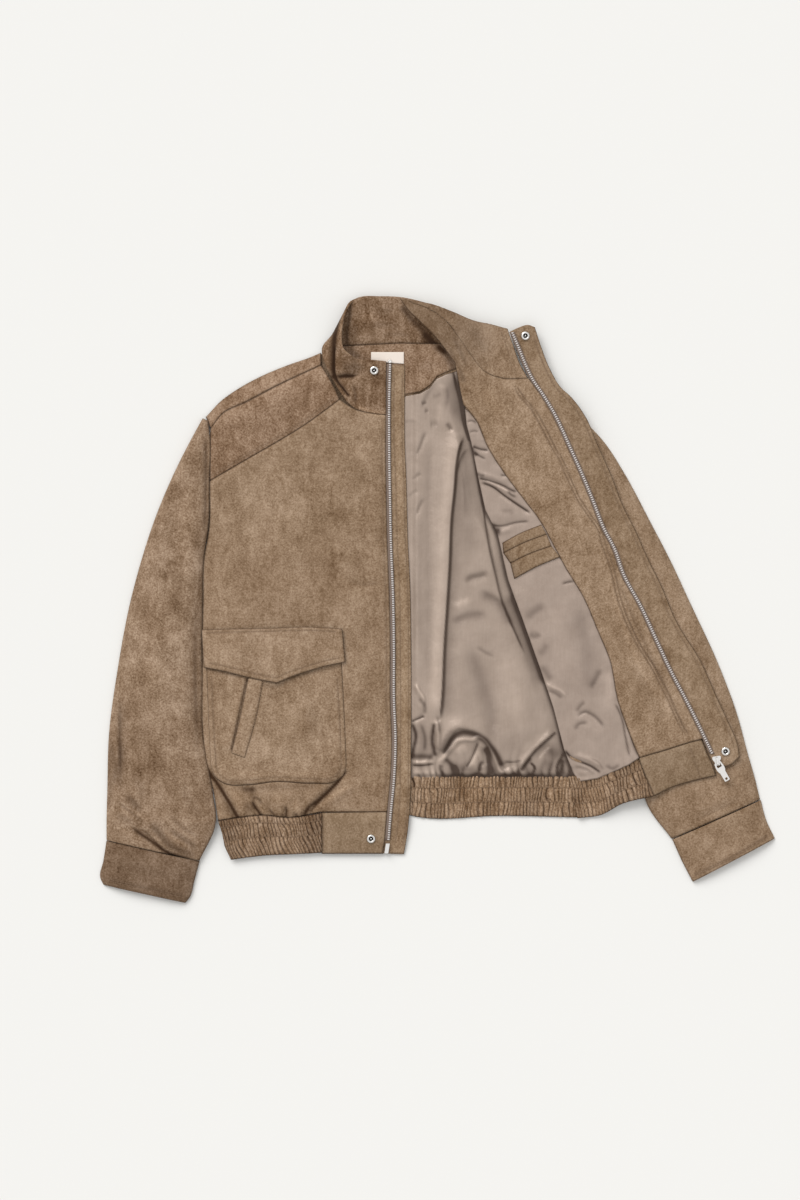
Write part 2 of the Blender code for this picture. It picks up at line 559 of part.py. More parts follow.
def opened_front_edge():
    """The storm placket with the zip's other half, its slider, its pull tab and two snaps."""
    outer = [(124, 348), (131, 326), (145, 291), (157, 271), (170, 259), (189, 233), (204, 198),
             (221, 160), (237, 119), (253, 87), (269, 51), (285, 19), (304, -26), (336, -79),
             (358, -128), (371, -156), (382, -182), (385, -201)]
    panel("placket_left", shifted(ZIP_LEFT, -TAPE_HALF) + [(354, -211)], outer, BROWN,
          bottom=[(354, -211), (369, -212), (385, -201)], lay=opened_shell, cells=(2, 16))
    panel("zip_tape_left", shifted(ZIP_LEFT, -TAPE_HALF + SEAM), shifted(ZIP_LEFT, TAPE_HALF),
          TAPE_CLOTH, lay=opened_facing, wall=TAPE, cells=(1, 16))
    panel("zip_chain_left", shifted(ZIP_LEFT, -CHAIN_HALF), shifted(ZIP_LEFT, CHAIN_HALF), METAL,
          lay=opened_facing, lift=CHAIN_LIFT, wall=CHAIN, cells=(1, 16))
    for name, x, y in (("snap_placket_top", 112.0, 337.0), ("snap_placket_bottom", 367.0, -193.0)):
        snap(name, (x, y), opened_shell(x, y) + SUEDE / 2 + 3 * SEAM)
    slider_and_pull()
    panel("hem_elastic_left",
          [(174, -232), (181, -279)], [(255, -204), (263, -221), (275, -248)], BROWN,
          top=[(174, -232), (204, -227), (223, -220), (244, -210), (255, -204)],
          bottom=[(181, -279), (208, -275), (236, -260), (275, -248)],
          lay=opened_shell, lift=(ELASTIC - SUEDE) / 2, wall=ELASTIC, cells=(6, 3), trim=0.6)
    panel("hem_tab_left", [(257, -203), (266, -221), (277, -248)],
          [(337, -180), (343, -196), (350, -211), (354, -224)],
          BROWN, top=[(257, -203), (291, -193), (326, -182), (337, -180)],
          bottom=[(277, -248), (298, -238), (317, -233), (336, -228), (354, -224)],
          lay=opened_shell, lift=(TAB - SUEDE) / 2, wall=TAB, cells=(4, 3), trim=0.6)


clear_scene()
GARMENT = bpy.data.collections.new("suede_jacket")
bpy.context.scene.collection.children.link(GARMENT)
BLANKS = bpy.data.collections.new("blanks")
bpy.context.scene.collection.children.link(BLANKS)
BROWN = material("suede", (0.30, 0.20, 0.125), 0.95)
LINING = material("satin", (0.38, 0.29, 0.23), 0.45)
LABEL = material("woven_label", (0.90, 0.82, 0.70), 0.8)
TAPE_CLOTH = material("zip_tape", (0.16, 0.12, 0.10), 0.9)
METAL = material("zip_metal", (0.70, 0.70, 0.70), 0.3, 1.0)

shell_and_sleeves()
pocket()
closed_front_edge()
closed_hem()
inside()
collar()
opened_front()
opened_front_edge()
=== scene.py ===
# %% [markdown]
# # A suede blouson, laid out flat
# The jacket lies on its back on a pale table.  The wearer's right front is closed over the body,
# and the left front is opened out over its sleeve, so that the satin lining shows.  A packed
# model already holds every piece at its real size as a plain solid.  This lesson clothes those
# solids: each cloth piece becomes a thin wall on its solid's own form, with the folds, seams,
# gathers and stitches that the plain solid leaves out.

# %% The frame
import math

import bpy
import numpy as np
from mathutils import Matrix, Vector


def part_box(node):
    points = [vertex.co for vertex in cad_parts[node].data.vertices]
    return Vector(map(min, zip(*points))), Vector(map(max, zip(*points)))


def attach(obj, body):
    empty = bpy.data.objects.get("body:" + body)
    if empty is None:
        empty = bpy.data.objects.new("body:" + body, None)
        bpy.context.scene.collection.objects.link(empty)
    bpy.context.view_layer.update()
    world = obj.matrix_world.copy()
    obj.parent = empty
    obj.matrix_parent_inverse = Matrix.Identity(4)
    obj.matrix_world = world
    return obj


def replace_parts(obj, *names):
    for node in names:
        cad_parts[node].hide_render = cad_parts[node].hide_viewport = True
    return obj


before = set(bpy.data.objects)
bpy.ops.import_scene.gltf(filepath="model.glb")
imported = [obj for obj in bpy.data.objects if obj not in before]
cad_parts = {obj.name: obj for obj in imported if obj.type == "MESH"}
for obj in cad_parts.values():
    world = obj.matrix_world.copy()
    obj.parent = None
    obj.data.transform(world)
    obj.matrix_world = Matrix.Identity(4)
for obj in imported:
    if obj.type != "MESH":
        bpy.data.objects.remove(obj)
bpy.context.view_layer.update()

MM = 0.001

# %% [markdown]
# ## Sizes of the cloth
# All tables below are in millimetres on the table top: x to the viewer's right, y towards the
# collar, z up.  Cloth is stacked in layers, so the thicknesses come first, and every height
# is worked out from them in the same way as the solids' own heights.

# %% Cloth sizes
SUEDE = 1.4             # wall of the suede
SATIN = 1.0             # wall of the satin
COLLAR = 2.6            # two suedes and the interfacing between them
TAB = 2.4               # doubled suede at the plain ends of the hem
TAPE = 1.0              # wall of the zip's tape
SEAM = 0.3              # gap between two pieces at a seam
LAP = 0.4               # gap between two pieces that lie on each other
LAYER = SUEDE + SEAM
FLOOR_LAYER = SUEDE / 2                     # middle of a wall that lies on the table
LINING_LAYER = SUEDE + SEAM + SATIN / 2     # middle of the satin on the back panel
NECK_LAYER = LINING_LAYER + 0.2             # middle of the neck facing, over the satin's edge
FOLD_LAYER = SUEDE + SEAM + SUEDE / 2       # middle of a second suede wall
FRONT_CROWN = 12.0      # height of the closed front's dome
ARMHOLE_LIFT = 5.0      # how much higher the front's side is at the armhole
SLEEVE_UNDER_FRONT = 13.2   # height of the left sleeve under the opened front
FOLD_BASE = 4.2         # height of the opened front's fold, above the hem
UNDERLAP_DROP = 2.2     # the underlap lies this far below the zip edge
SIDE_RISE = 60.0        # the front rises over this far from its side, and so on
SHOULDER_RISE = 45.0
HEM_RISE = 45.0
ZIP_RISE = 75.0
ARMHOLE_FOOT = 45.0     # the armhole's lift starts at this y
ARMHOLE_RISE = 70.0
NECK_LIFT = 7.0         # the opened front stands up round this point of the neck
NECK_POINT = (-16, 339)
NECK_REACH = 70.0
OPENED_HEM = -234       # y of the opened front's hem at its fold
BACK_HEM = -225         # y of the seam above the back's hem band
UNDERLAP_EDGE = -34     # x of the underlap's free edge
SHADOW_TOP = -156       # below this y the lining lies in deeper shadow
EDGE_BACK = 4.5         # from the middle of the zip back to the front's edge
TAPE_HALF = 3.6         # from the middle of the zip to the tape's edge
print("a layer of suede:", LAYER, "mm   the zip edge lies back by", EDGE_BACK, "mm")

# %% [markdown]
# ## Seam lines
# A garment is drawn as seam lines first.  Neighbouring pieces share a line, so they meet along
# it whatever shape it takes.  Each line is a short list of points that a smooth curve is passed
# through.

# %% Seam lines
SIDE_RIGHT = [(-290, 218), (-291, 151), (-292, 88), (-299, 51), (-300, 0), (-300, -179),
              (-296, -211), (-287, -243), (-280, -282), (-277, -285), (-266, -330)]
SHOULDER_FOLD = [(-296, 234), (-276, 255), (-253, 271), (-221, 288), (-189, 301), (-163, 310),
                 (-149, 316)]
SHOULDER_SEAM = [(-290, 219), (-275, 238), (-244, 253), (-204, 274), (-149, 300)]
YOKE_SEAM = [(-291, 152), (-246, 178), (-163, 228), (-125, 256)]
NECK_SIDE_RIGHT = [(-149, 300), (-143, 291), (-134, 275), (-125, 256)]
NECK_FRONT_RIGHT = [(-125, 256), (-106, 244), (-85, 239), (-66, 237)]
HEM_SEAM_RIGHT = [(-280, -282), (-253, -278), (-225, -275), (-189, -278), (-148, -271)]
ZIP_RIGHT = [(-61, 302), (-62, 256), (-62, 192), (-61, 128), (-60, 77), (-57, 0), (-56, -64),
             (-56, -128), (-54, -179), (-56, -230), (-60, -271), (-63, -307), (-66, -324)]
ZIP_LEFT = [(95, 342), (103, 323), (111, 303), (121, 282), (135, 261), (147, 241), (170, 192),
            (186, 156), (199, 124), (211, 93), (226, 64), (236, 35), (260, -10), (277, -47),
            (298, -92), (317, -128), (336, -166), (350, -196)]
SLEEVE_LEFT_INNER = [(171, 256), (171, 160), (172, 100), (180, 51), (193, 4), (236, -92),
                     (252, -147), (258, -201), (263, -256)]
FOLD_LEFT = [(-40, 370), (-22, 353), (-4, 335), (12, 316), (22, 302), (30, 259), (35, 224),
             (42, 201), (51, 156), (60, 115), (75, 83), (88, 26), (107, -26), (132, -96),
             (147, -138), (161, -192), (168, -215), (172, -232), (180, -279)]
FOLD_INSIDE = [(26, 292), (34, 259), (39, 224), (45, 201), (54, 156), (63, 115), (79, 83),
               (92, 26), (111, -26), (136, -96), (150, -138), (164, -192), (176, -223)]
FACING_EDGE = [(33, 250), (51, 227), (63, 198), (86, 161), (106, 134), (132, 99), (148, 70),
               (163, 42), (186, 4), (204, -38), (220, -77), (230, -128), (241, -160), (257, -201)]
PLACKET_LEFT_EDGE = [(124, 348), (131, 326), (145, 291), (157, 271), (170, 259), (189, 233),
                     (204, 198), (221, 160), (237, 119), (253, 87), (269, 51), (285, 19),
                     (304, -26), (336, -79), (358, -128), (371, -156), (382, -182), (385, -201)]
# columns: y, height of the closed front's zip edge there
EDGE_HEIGHTS = [(-328, 4.6), (-284, 8.6), (-230, 8.6), (-128, 6.2), (384, 6.2)]

# %% [markdown]
# ## Curves and blends
# Three small tools do most of the work: a blend that starts and ends level, a smooth curve
# through a few points, and a reading of a seam line at a given height.

# %% Curve helpers
def smooth(t):
    """0 to 1 with level ends: three t squared minus two t cubed."""
    t = np.clip(t, 0.0, 1.0)
    return t * t * (3.0 - 2.0 * t)


def rise(t):
    """0 to 1, steep at first and level at the end: one minus (one minus t) squared."""
    t = np.clip(t, 0.0, 1.0)
    return 1.0 - (1.0 - t) ** 2


def mix(a, b, t):
    """From a to b by the share t."""
    return a + (b - a) * t


def curve(points, per_span=12):
    """A smooth line through the points: each span is a cubic whose slope at a point is that of
    the chord between the point's neighbours."""
    p = np.array(points, float)
    if len(p) < 3:
        return p
    chord = np.linalg.norm(np.diff(p[:, :2], axis=0), axis=1) + 1e-9
    place = np.concatenate([[0.0], np.cumsum(chord)])
    slope = np.gradient(p, place, axis=0)
    at = np.concatenate([np.linspace(a, b, per_span, endpoint=False)
                         for a, b in zip(place[:-1], place[1:])] + [[place[-1]]])
    span = np.clip(np.searchsorted(place, at, side="right") - 1, 0, len(chord) - 1)
    t = ((at - place[span]) / chord[span])[:, None]
    size = chord[span][:, None]
    return ((2 * t**3 - 3 * t**2 + 1) * p[span] + (t**3 - 2 * t**2 + t) * size * slope[span]
            + (3 * t**2 - 2 * t**3) * p[span + 1] + (t**3 - t**2) * size * slope[span + 1])


def along(*lines):
    """Several lines as one, each smoothed on its own, so that they meet at corners."""
    return np.vstack([curve(line) for line in lines])


def follow(line, t):
    """The points of a line at the shares t of its length."""
    line = np.asarray(line, float)
    steps = np.linalg.norm(np.diff(line[:, :2], axis=0), axis=1) + 1e-9
    share = np.concatenate([[0.0], np.cumsum(steps)]) / steps.sum()
    return np.stack([np.interp(t, share, line[:, i]) for i in range(line.shape[1])], axis=-1)


def reading(line, at, along=1):
    """A line's x at a given y (along=1), or its y at a given x (along=0)."""
    p = np.asarray(line, float)
    order = np.argsort(p[:, along])
    return np.interp(at, p[order, along], p[order, 1 - along])


def shifted(line, dx):
    """A line moved to the viewer's right."""
    return [(x + dx, y) for x, y in line]


SIDE_CURVE = curve(SIDE_RIGHT)
ZIP_RIGHT_CURVE = curve(ZIP_RIGHT)
HEM_CURVE = curve(HEM_SEAM_RIGHT)
FOLD_LEFT_CURVE = curve(FOLD_LEFT)
SLEEVE_CURVE = curve(SLEEVE_LEFT_INNER)
zip_steps = np.linalg.norm(np.diff(ZIP_RIGHT_CURVE, axis=0), axis=1)
print(f"right zip: {zip_steps.sum():.0f} mm long")

# %% [markdown]
# ## Folds placed one by one
# Real cloth doesn't crease evenly, so each fold is a row in a table: the line that it follows,
# how wide it is on its two sides, and how high it stands.  A negative height is a trough.  A fold
# that is narrow on one side and wide on the other looks laid over, as a pleat does.

# %% Fold helpers
def beside(line, x, y, finer=5):
    """For every point, the signed distance to a line (positive on the viewer's right of a line
    that runs down) and the share of the line's length at the nearest place."""
    p = curve(line, finer)[:, :2]
    steps = np.linalg.norm(np.diff(p, axis=0), axis=1)
    start = np.concatenate([[0.0], np.cumsum(steps)])
    best = np.full(x.shape, 1e9)
    side = np.ones(x.shape)
    share = np.zeros(x.shape)
    for i, step in enumerate(steps):
        dx, dy = (p[i + 1] - p[i]) / max(step, 1e-9)
        along = np.clip((x - p[i, 0]) * dx + (y - p[i, 1]) * dy, 0.0, step)
        gx, gy = x - p[i, 0] - along * dx, y - p[i, 1] - along * dy
        gap = np.hypot(gx, gy)
        nearer = gap < best
        best = np.where(nearer, gap, best)
        side = np.where(nearer, np.sign(gy * dx - gx * dy), side)
        share = np.where(nearer, (start[i] + along) / start[-1], share)
    return best * side, share


def fold_rows(text):
    """The rows of a table of folds.  A row's columns are: half width on the viewer's left and on
    the right of a line that runs down, height, share over which the fold fades at each end.
    After the colon come x and y of the line's points.  A row that ends with a comma goes on in the
    next line.  In a table of tones the height is how much painted shade it gives, or painted
    light below zero."""
    table = []
    for row in text.strip().replace(",\n", ",").splitlines():
        sizes, points = row.split(":")
        line = [tuple(map(float, point.split())) for point in points.split(",")]
        table.append((line, *map(float, sizes.split())))
    return table


def folds(x, y, table):
    """The sum of the table's folds.  Each is height times a bell curve of the distance, with its
    own width on either side, and it fades out over a part of its length at both ends."""
    total = np.zeros(x.shape)
    for line, left, right, height, fade in table:
        gap, share = beside(line, x, y)
        width = np.where(gap < 0, left, right)
        ends = smooth(share / fade) * smooth((1.0 - share) / fade)
        total += height * ends * np.exp(-(gap / width) ** 2)
    return total


def crease_lines(x, y, table):
    """0 to 1: painted shade in a thin line at the bottom of each sharp trough."""
    total = np.zeros(x.shape)
    for line, left, right, height, fade in table:
        if height < -0.7 and min(left, right) < 6.5:
            gap, share = beside(line, x, y)
            ends = smooth(share / fade) * smooth((1.0 - share) / fade)
            sharp = min(left, right) * 0.42
            total += min(1.0, -height / 3.0) * ends * np.exp(-(gap / sharp) ** 2)
    return np.clip(total, 0.0, 1.0)


WAVES = 14              # plane waves in the slow unevenness of a cloth


def unrest(x, y, seed, length, height):
    """Slow unevenness: the mean of many plane waves with seeded directions and phases, each
    about length long."""
    draw = np.random.default_rng(seed)
    total = np.zeros(x.shape)
    turns = draw.uniform(0, math.pi, WAVES)
    lengths = length * draw.uniform(0.6, 1.7, WAVES)
    phases = draw.uniform(0, 2 * math.pi, WAVES)
    for turn, wave, phase in zip(turns, lengths, phases):
        ahead = x * math.cos(turn) + y * math.sin(turn)
        total += np.sin(2 * math.pi * ahead / wave + phase)
    return total * height / math.sqrt(WAVES)


# %% [markdown]
# ## Heights of the layers
# The closed front is a low dome that folds down at the side, the shoulder, the hem and the zip.
# The opened front lies on the back's lining by its fold and climbs over the sleeve.

# %% Layer heights
def edge_height(x, y):
    """The height of the closed front's zip edge at y, read off its table."""
    return reading(EDGE_HEIGHTS, y, along=0)


# columns: half widths, height, share faded at each end: the points of the line
FRONT_FOLDS = fold_rows("""
    4 5.5 -3.2 0.12: -298 -210, -287 -227, -276 -244, -264 -264, -253 -283
    7 10 1.5 0.25: -285 -215, -268 -238, -250 -261, -240 -276
    5 4 -3.2 0.12: -113 -215, -125 -230, -138 -244, -153 -259, -167 -276
    9 6 1.4 0.25: -127 -218, -140 -234, -156 -250, -168 -264
    6 9 0.9 0.3: -99 -228, -118 -246, -140 -264
    16 16 2.2 0.25: -253 -252, -207 -257, -163 -252
    7 5 1.6 0.25: -284 -236, -277 -256, -267 -274
    4 4 -0.8 0.3: -118 28, -99 20, -68 22
    30 34 0.9 0.3: -176 166, -189 51, -181 -26
    18 22 -0.8 0.3: -255 166, -240 102, -253 0
    16 14 -0.6 0.3: -93 218, -99 102, -89 -26
    5 7 0.8 0.2: -286 215, -287 166, -290 77
    4 4 -0.6 0.3: -276 229, -263 220, -249 214
    14 14 -0.8 0.3: -92 -115, -99 -166, -86 -243
""")


def front_shape(x, y):
    """The closed front's dome without its folds: from each edge it rises to the crown as one
    minus (one minus t) squared, where t is the distance from that edge over its own reach."""
    low = FOLD_LAYER + ARMHOLE_LIFT * smooth((y - ARMHOLE_FOOT) / ARMHOLE_RISE)
    z = low + (FRONT_CROWN - low) * rise((x - reading(SIDE_CURVE, y)) / SIDE_RISE)
    shoulder = reading(SHOULDER_FOLD, x, along=0)
    z = FOLD_LAYER + (z - FOLD_LAYER) * rise((shoulder - y) / SHOULDER_RISE)
    z = mix(edge_height(x, y), z, rise((y - reading(HEM_CURVE, x, along=0)) / HEM_RISE))
    return mix(edge_height(x, y), z, rise((reading(ZIP_RIGHT_CURVE, y) - x) / ZIP_RISE))


def front_height(x, y):
    """The closed front with its folds, which fade where it is sewn down."""
    free = smooth((reading(ZIP_RIGHT_CURVE, y) - x - 3.0) / 14.0)
    free = free * smooth((x - reading(SIDE_CURVE, y)) / 8.0)
    return front_shape(x, y) + free * (folds(x, y, FRONT_FOLDS) + unrest(x, y, 3, 70.0, 0.35))


def opened_floor(x, y):
    """What the opened front lies on: the lining by the fold, then the sleeve."""
    start = reading(FOLD_LEFT_CURVE, y)
    finish = reading(SLEEVE_CURVE, y) + 4.0
    base = FOLD_BASE * smooth((y - OPENED_HEM) / HEM_RISE)
    z = mix(base, SLEEVE_UNDER_FRONT + 2 * LAP, smooth((x - start) / (finish - start)))
    away = np.hypot(x - NECK_POINT[0], y - NECK_POINT[1]) / NECK_REACH
    return z + NECK_LIFT * np.exp(-away * away)


OPENED_FOLDS = fold_rows("""
    10 10 0.5 0.2: 138 256, 195 128, 259 -13, 323 -141
    24 24 0.9 0.3: 80 230, 138 128, 195 13
    18 18 -0.7 0.3: 208 0, 240 -77, 272 -166
    8 8 -0.6 0.3: 152 292, 177 256, 208 197
""")


def opened_shell(x, y):
    """The shell of the opened front, on what it lies on."""
    return opened_floor(x, y) + folds(x, y, OPENED_FOLDS) + LAP + SUEDE / 2


def opened_facing(x, y):
    """The facing and the lining, on the shell."""
    return opened_shell(x, y) + SUEDE + 2 * LAP


chest = np.array([-180.0]), np.array([0.0])
print(f"the closed front is {front_shape(*chest)[0]:.1f} mm up at its middle,"
      f" with {len(FRONT_FOLDS)} folds")


# %% [markdown]
# ## Suede
# Suede is a short nap, so it hardly shines, and each brush of a hand leaves the hairs lying
# another way.  That gives cloudy patches a few centimetres wide, finer marks inside them, and a
# grain of about two millimetres.  Noises of those sizes, and one turned another way for scuffs,
# are added up and then read through a ramp from the dark tone to the light one.  The grain and a
# finer nap make the bump.

# %% Material helpers
LIGHT_ON_CLOTH = 1.14   # how much brighter than its own colour white cloth comes out here


def tone(red, green, blue):
    """A colour as seen under this light, from 0 to 255, as the cloth's own colour."""
    seen = np.array([red, green, blue]) / 255.0
    plain = np.where(seen <= 0.04045, seen / 12.92, ((seen + 0.055) / 1.055) ** 2.4)
    return (*(plain / LIGHT_ON_CLOTH), 1.0)


class Nodes:
    """Short names for adding and joining shader nodes."""

    def __init__(self, name):
        self.material = bpy.data.materials.new(name)
        self.material.use_nodes = True
        self.tree = self.material.node_tree
        self.shader = self.tree.nodes["Principled BSDF"]

    def add(self, kind, sockets=None, **settings):
        """A node of a kind, with its settings made before its sockets are given."""
        node = self.tree.nodes.new(kind)
        for key, value in settings.items():
            setattr(node, key, value)
        for key, value in (sockets or {}).items():
            self.set(node.inputs[key], value)
        return node

    def set(self, socket, value):
        """Join a socket to another one, or give it a constant."""
        if isinstance(value, bpy.types.NodeSocket):
            self.tree.links.new(value, socket)
        else:
            socket.default_value = value

    def place(self, shift=(0, 0, 0), turn=0.0, stretch=(1, 1, 1)):
        """Object coordinates, moved, turned and stretched."""
        source = self.add("ShaderNodeTexCoord").outputs["Object"]
        mapped = self.add("ShaderNodeMapping", {"Vector": source, "Location": shift,
                                                "Rotation": (0, 0, turn), "Scale": stretch})
        return mapped.outputs[0]

    def noise(self, place, size, detail, roughness, distortion=0.0):
        """Noise whose patches are about size millimetres wide."""
        return self.add("ShaderNodeTexNoise", {
            "Vector": place, "Scale": 1000.0 / size, "Detail": detail, "Roughness": roughness,
            "Distortion": distortion}).outputs["Fac"]

    def sum(self, *terms):
        """Add socket times weight for every pair."""
        total = None
        for socket, weight in terms:
            part = self.add("ShaderNodeMath", {0: socket, 1: weight}, operation="MULTIPLY")
            total = part if total is None else self.add(
                "ShaderNodeMath", {0: total.outputs[0], 1: part.outputs[0]}, operation="ADD")
        return total.outputs[0]

    def ramp(self, value, stops):
        """Read a value through a band of colours, each at its place."""
        node = self.add("ShaderNodeValToRGB", {"Fac": value})
        band = node.color_ramp.elements
        for _ in range(len(stops) - 2):
            band.new(0.5)
        for element, (at, colour) in zip(band, stops):
            element.position = at
            element.color = colour
        return node.outputs["Color"]

    def pressed_and_shaded(self, colour, deep):
        """Blend towards a deep tone, as painted shade, where the piece's own attribute is above
        zero, and away from it, as painted light, where the attribute is below zero."""
        painted_shade = self.add("ShaderNodeAttribute", attribute_name="pressed_and_shaded").outputs["Fac"]
        sockets = {0: painted_shade, 6: colour, 7: deep}
        return self.add("ShaderNodeMix", sockets, data_type="RGBA", clamp_factor=False).outputs[2]

    def bump(self, height, depth, under=None):
        """A bump whose full swing is depth millimetres, on top of another one."""
        sockets = {"Height": height, "Distance": depth * MM, "Strength": 1.0}
        if under is not None:
            sockets["Normal"] = under
        return self.add("ShaderNodeBump", sockets).outputs["Normal"]

    def finish(self, colour, normal=None, **constants):
        """Set the shader.  A constant goes on the shader's own socket."""
        constants["Base Color"] = colour
        if normal is not None:
            constants["Normal"] = normal
        for name, value in constants.items():
            self.set(self.shader.inputs[name.replace("_", " ")], value)
        return self.material


# %% Suede
def suede(name, seen, shift, turn, contrast=1.0):
    """Suede of a mean tone, as seen, from 0 to 255.  Each cut piece has its own shift and turn,
    because the hide's marks don't run on across a seam."""
    made = Nodes(name)
    plain = made.place(shift, turn)
    brushed = made.place(shift, turn, (1.0, 0.4, 1.0))
    clouds = made.noise(plain, 60.0, 7.0, 0.72, 0.4)
    marks = made.noise(brushed, 13.0, 6.0, 0.78, 0.6)
    grain = made.noise(plain, 2.3, 3.0, 0.7)
    nap = made.noise(plain, 0.9, 2.0, 0.6)
    scuffs = made.noise(made.place(shift, turn + 0.7), 30.0, 8.0, 0.8, 1.2)
    value = made.sum((clouds, 0.27), (marks, 0.26), (grain, 0.33), (scuffs, 0.14))
    seen = np.array(seen, float)
    dark = tone(*(seen - 46.0 * contrast))
    low = tone(*(seen - 15.0 * contrast))
    middle = tone(*seen)
    light = tone(*(seen + 26.0 * contrast))
    colour = made.ramp(value, [(0.37, dark), (0.455, low), (0.505, middle), (0.60, light)])
    # painted shade in seams, creases, furrows and folds blends towards this deep tone, and painted
    # light away from it
    colour = made.pressed_and_shaded(colour, tone(*(seen * (0.42, 0.34, 0.26))))
    normal = made.bump(grain, 0.9, made.bump(nap, 0.35))
    rough = made.sum((marks, 0.2), (grain, 0.1))
    rough = made.add("ShaderNodeMath", {0: rough, 1: 0.78}, operation="ADD").outputs[0]
    return made.finish(colour, normal, Roughness=rough, Specular_IOR_Level=0.12,
                       Sheen_Weight=0.12, Sheen_Roughness=0.55,
                       Sheen_Tint=(0.85, 0.70, 0.55, 1.0))


suede_front = suede("suede_front", (154, 128, 103), (0.31, 0.07, 0.0), 0.05, 1.2)
suede_sleeve = suede("suede_sleeve", (152, 126, 102), (1.7, 0.4, 0.2), 0.25, 1.5)
suede_yoke = suede("suede_yoke", (148, 120, 96), (2.9, 1.1, 0.1), 1.0, 1.6)
suede_pocket = suede("suede_pocket", (155, 129, 104), (4.1, 0.6, 0.3), 0.1, 1.3)
suede_flap = suede("suede_flap", (156, 130, 105), (5.3, 2.2, 0.0), 0.0, 1.2)
suede_band = suede("suede_band", (151, 127, 102), (6.4, 3.1, 0.2), 1.5)
suede_gathered = suede("suede_gathered", (151, 124, 99), (7.2, 0.9, 0.4), 1.5, 1.5)
suede_collar = suede("suede_collar", (134, 107, 83), (8.8, 1.9, 0.1), 0.6, 1.7)
suede_facing = suede("suede_facing", (155, 129, 104), (9.6, 2.7, 0.3), -0.5, 1.25)
suede_placket = suede("suede_placket", (149, 124, 99), (3.3, 4.4, 0.1), -0.5, 1.1)
suede_cuff = suede("suede_cuff", (130, 106, 85), (0.9, 5.5, 0.2), 0.3, 1.2)
print("suedes:", [m.name for m in bpy.data.materials if m.name.startswith("suede")])

# %% [markdown]
# ## Satin
# Satin has long smooth floats of thread, so it shines along its folds.  Its own colour is even,
# and the look comes from a moderate roughness, from the folds in the mesh, and from painted shade
# in the troughs and creases with painted light on some ridges.  A very fine diagonal ripple stands
# for the weave, and a slow one for the slight puckers that ironed satin keeps.

# %% Satin, label, tape and metal
def satin(name, seen, turn):
    """Satin of a mean tone, as seen, whose threads run at an angle."""
    made = Nodes(name)
    place = made.place((0, 0, 0), turn)
    threads = made.add("ShaderNodeTexWave", {"Vector": place, "Scale": 900.0, "Distortion": 0.6,
                                             "Detail": 1.0}, wave_type="BANDS")
    puckers = made.noise(place, 22.0, 3.0, 0.5)
    streaks = made.noise(made.place((0, 0, 0), turn, (1.0, 0.1, 1.0)), 2.0, 2.0, 0.5)
    value = made.sum((puckers, 0.7), (streaks, 0.3))
    seen = np.array(seen, float)
    colour = made.ramp(value, [(0.3, tone(*(seen - 7))), (0.7, tone(*(seen + 7)))])
    # painted shade along the lining's folds blends towards this deep tone, and painted light away
    # from it
    colour = made.pressed_and_shaded(colour, tone(*(seen * (0.40, 0.33, 0.27))))
    normal = made.bump(threads.outputs["Fac"], 0.012, made.bump(puckers, 1.2))
    rough = made.sum((streaks, 0.12), (puckers, 0.08))
    rough = made.add("ShaderNodeMath", {0: rough, 1: 0.32}, operation="ADD").outputs[0]
    return made.finish(colour, normal, Roughness=rough, Metallic=0.25, Specular_IOR_Level=0.5,
                       Sheen_Weight=0.1, Sheen_Roughness=0.35,
                       Sheen_Tint=(1.0, 0.95, 0.9, 1.0))


def woven(name, seen, pitch, depth):
    """A plain weave: two ripples square to each other, multiplied."""
    made = Nodes(name)
    place = made.place()
    over = made.add("ShaderNodeTexWave", {"Vector": place, "Scale": 250.0 / pitch},
                    wave_type="BANDS", bands_direction="X")
    down = made.add("ShaderNodeTexWave", {"Vector": place, "Scale": 250.0 / pitch},
                    wave_type="BANDS", bands_direction="Y")
    weave = made.add("ShaderNodeMath", {0: over.outputs["Fac"], 1: down.outputs["Fac"]},
                     operation="MULTIPLY").outputs[0]
    seen = np.array(seen, float)
    colour = made.ramp(weave, [(0.0, tone(*(seen - 9))), (0.8, tone(*(seen + 4)))])
    return made.finish(colour, made.bump(weave, depth), Roughness=0.85,
                       Specular_IOR_Level=0.3)


def nickel(name, seen, roughness):
    """Bright plating with faint handling marks, and near-black painted shade where the piece's
    attribute is above zero.
    """
    made = Nodes(name)
    marks = made.noise(made.place(), 0.8, 4.0, 0.6)
    rough = made.add("ShaderNodeMapRange", {"Value": marks, "To Min": roughness * 0.7,
                                            "To Max": roughness * 1.4}).outputs[0]
    colour = made.ramp(marks, [(0.3, tone(*(np.array(seen) - 8.0))), (0.7, tone(*seen))])
    colour = made.pressed_and_shaded(colour, (0.03, 0.028, 0.026, 1.0))
    return made.finish(colour, made.bump(marks, 0.01), Roughness=rough, Metallic=1.0)


lining_satin = satin("lining_satin", (170, 151, 136), 0.4)
facing_satin = satin("front_lining_satin", (167, 148, 134), 1.2)
label_weave = woven("label_weave", (247, 234, 222), 0.5, 0.05)
tape_weave = woven("tape_weave", (134, 117, 106), 0.7, 0.12)
zip_nickel = nickel("zip_nickel", (240, 232, 227), 0.24)
pull_nickel = nickel("pull_nickel", (255, 252, 248), 0.3)
snap_nickel = nickel("snap_nickel", (246, 243, 238), 0.22)
thread = woven("thread", (140, 115, 92), 0.35, 0.05)
print("materials in all:", len(bpy.data.materials))

# %% [markdown]
# ## From formula to cloth
# Each piece is a grid of points worked out at once, then given a wall with a Solidify modifier.
# A panel is spread between its four seam lines: the sum of the ways across and down, less the
# plain blend of the corners.  Where two pieces are sewn together, the cloth dips into the seam,
# so the height also falls close to the panel's edges.

# %% Grid helpers
CELL = 2.2              # spacing of the grid, in millimetres
LEAST_SIDE = 0.011      # a sheet's cut is at least this wide, in metres
LEAST_SHARE = 0.31      # and covers at least this share of its rectangle
LEFT, RIGHT, TOP, BOTTOM = 0, 1, 2, 3


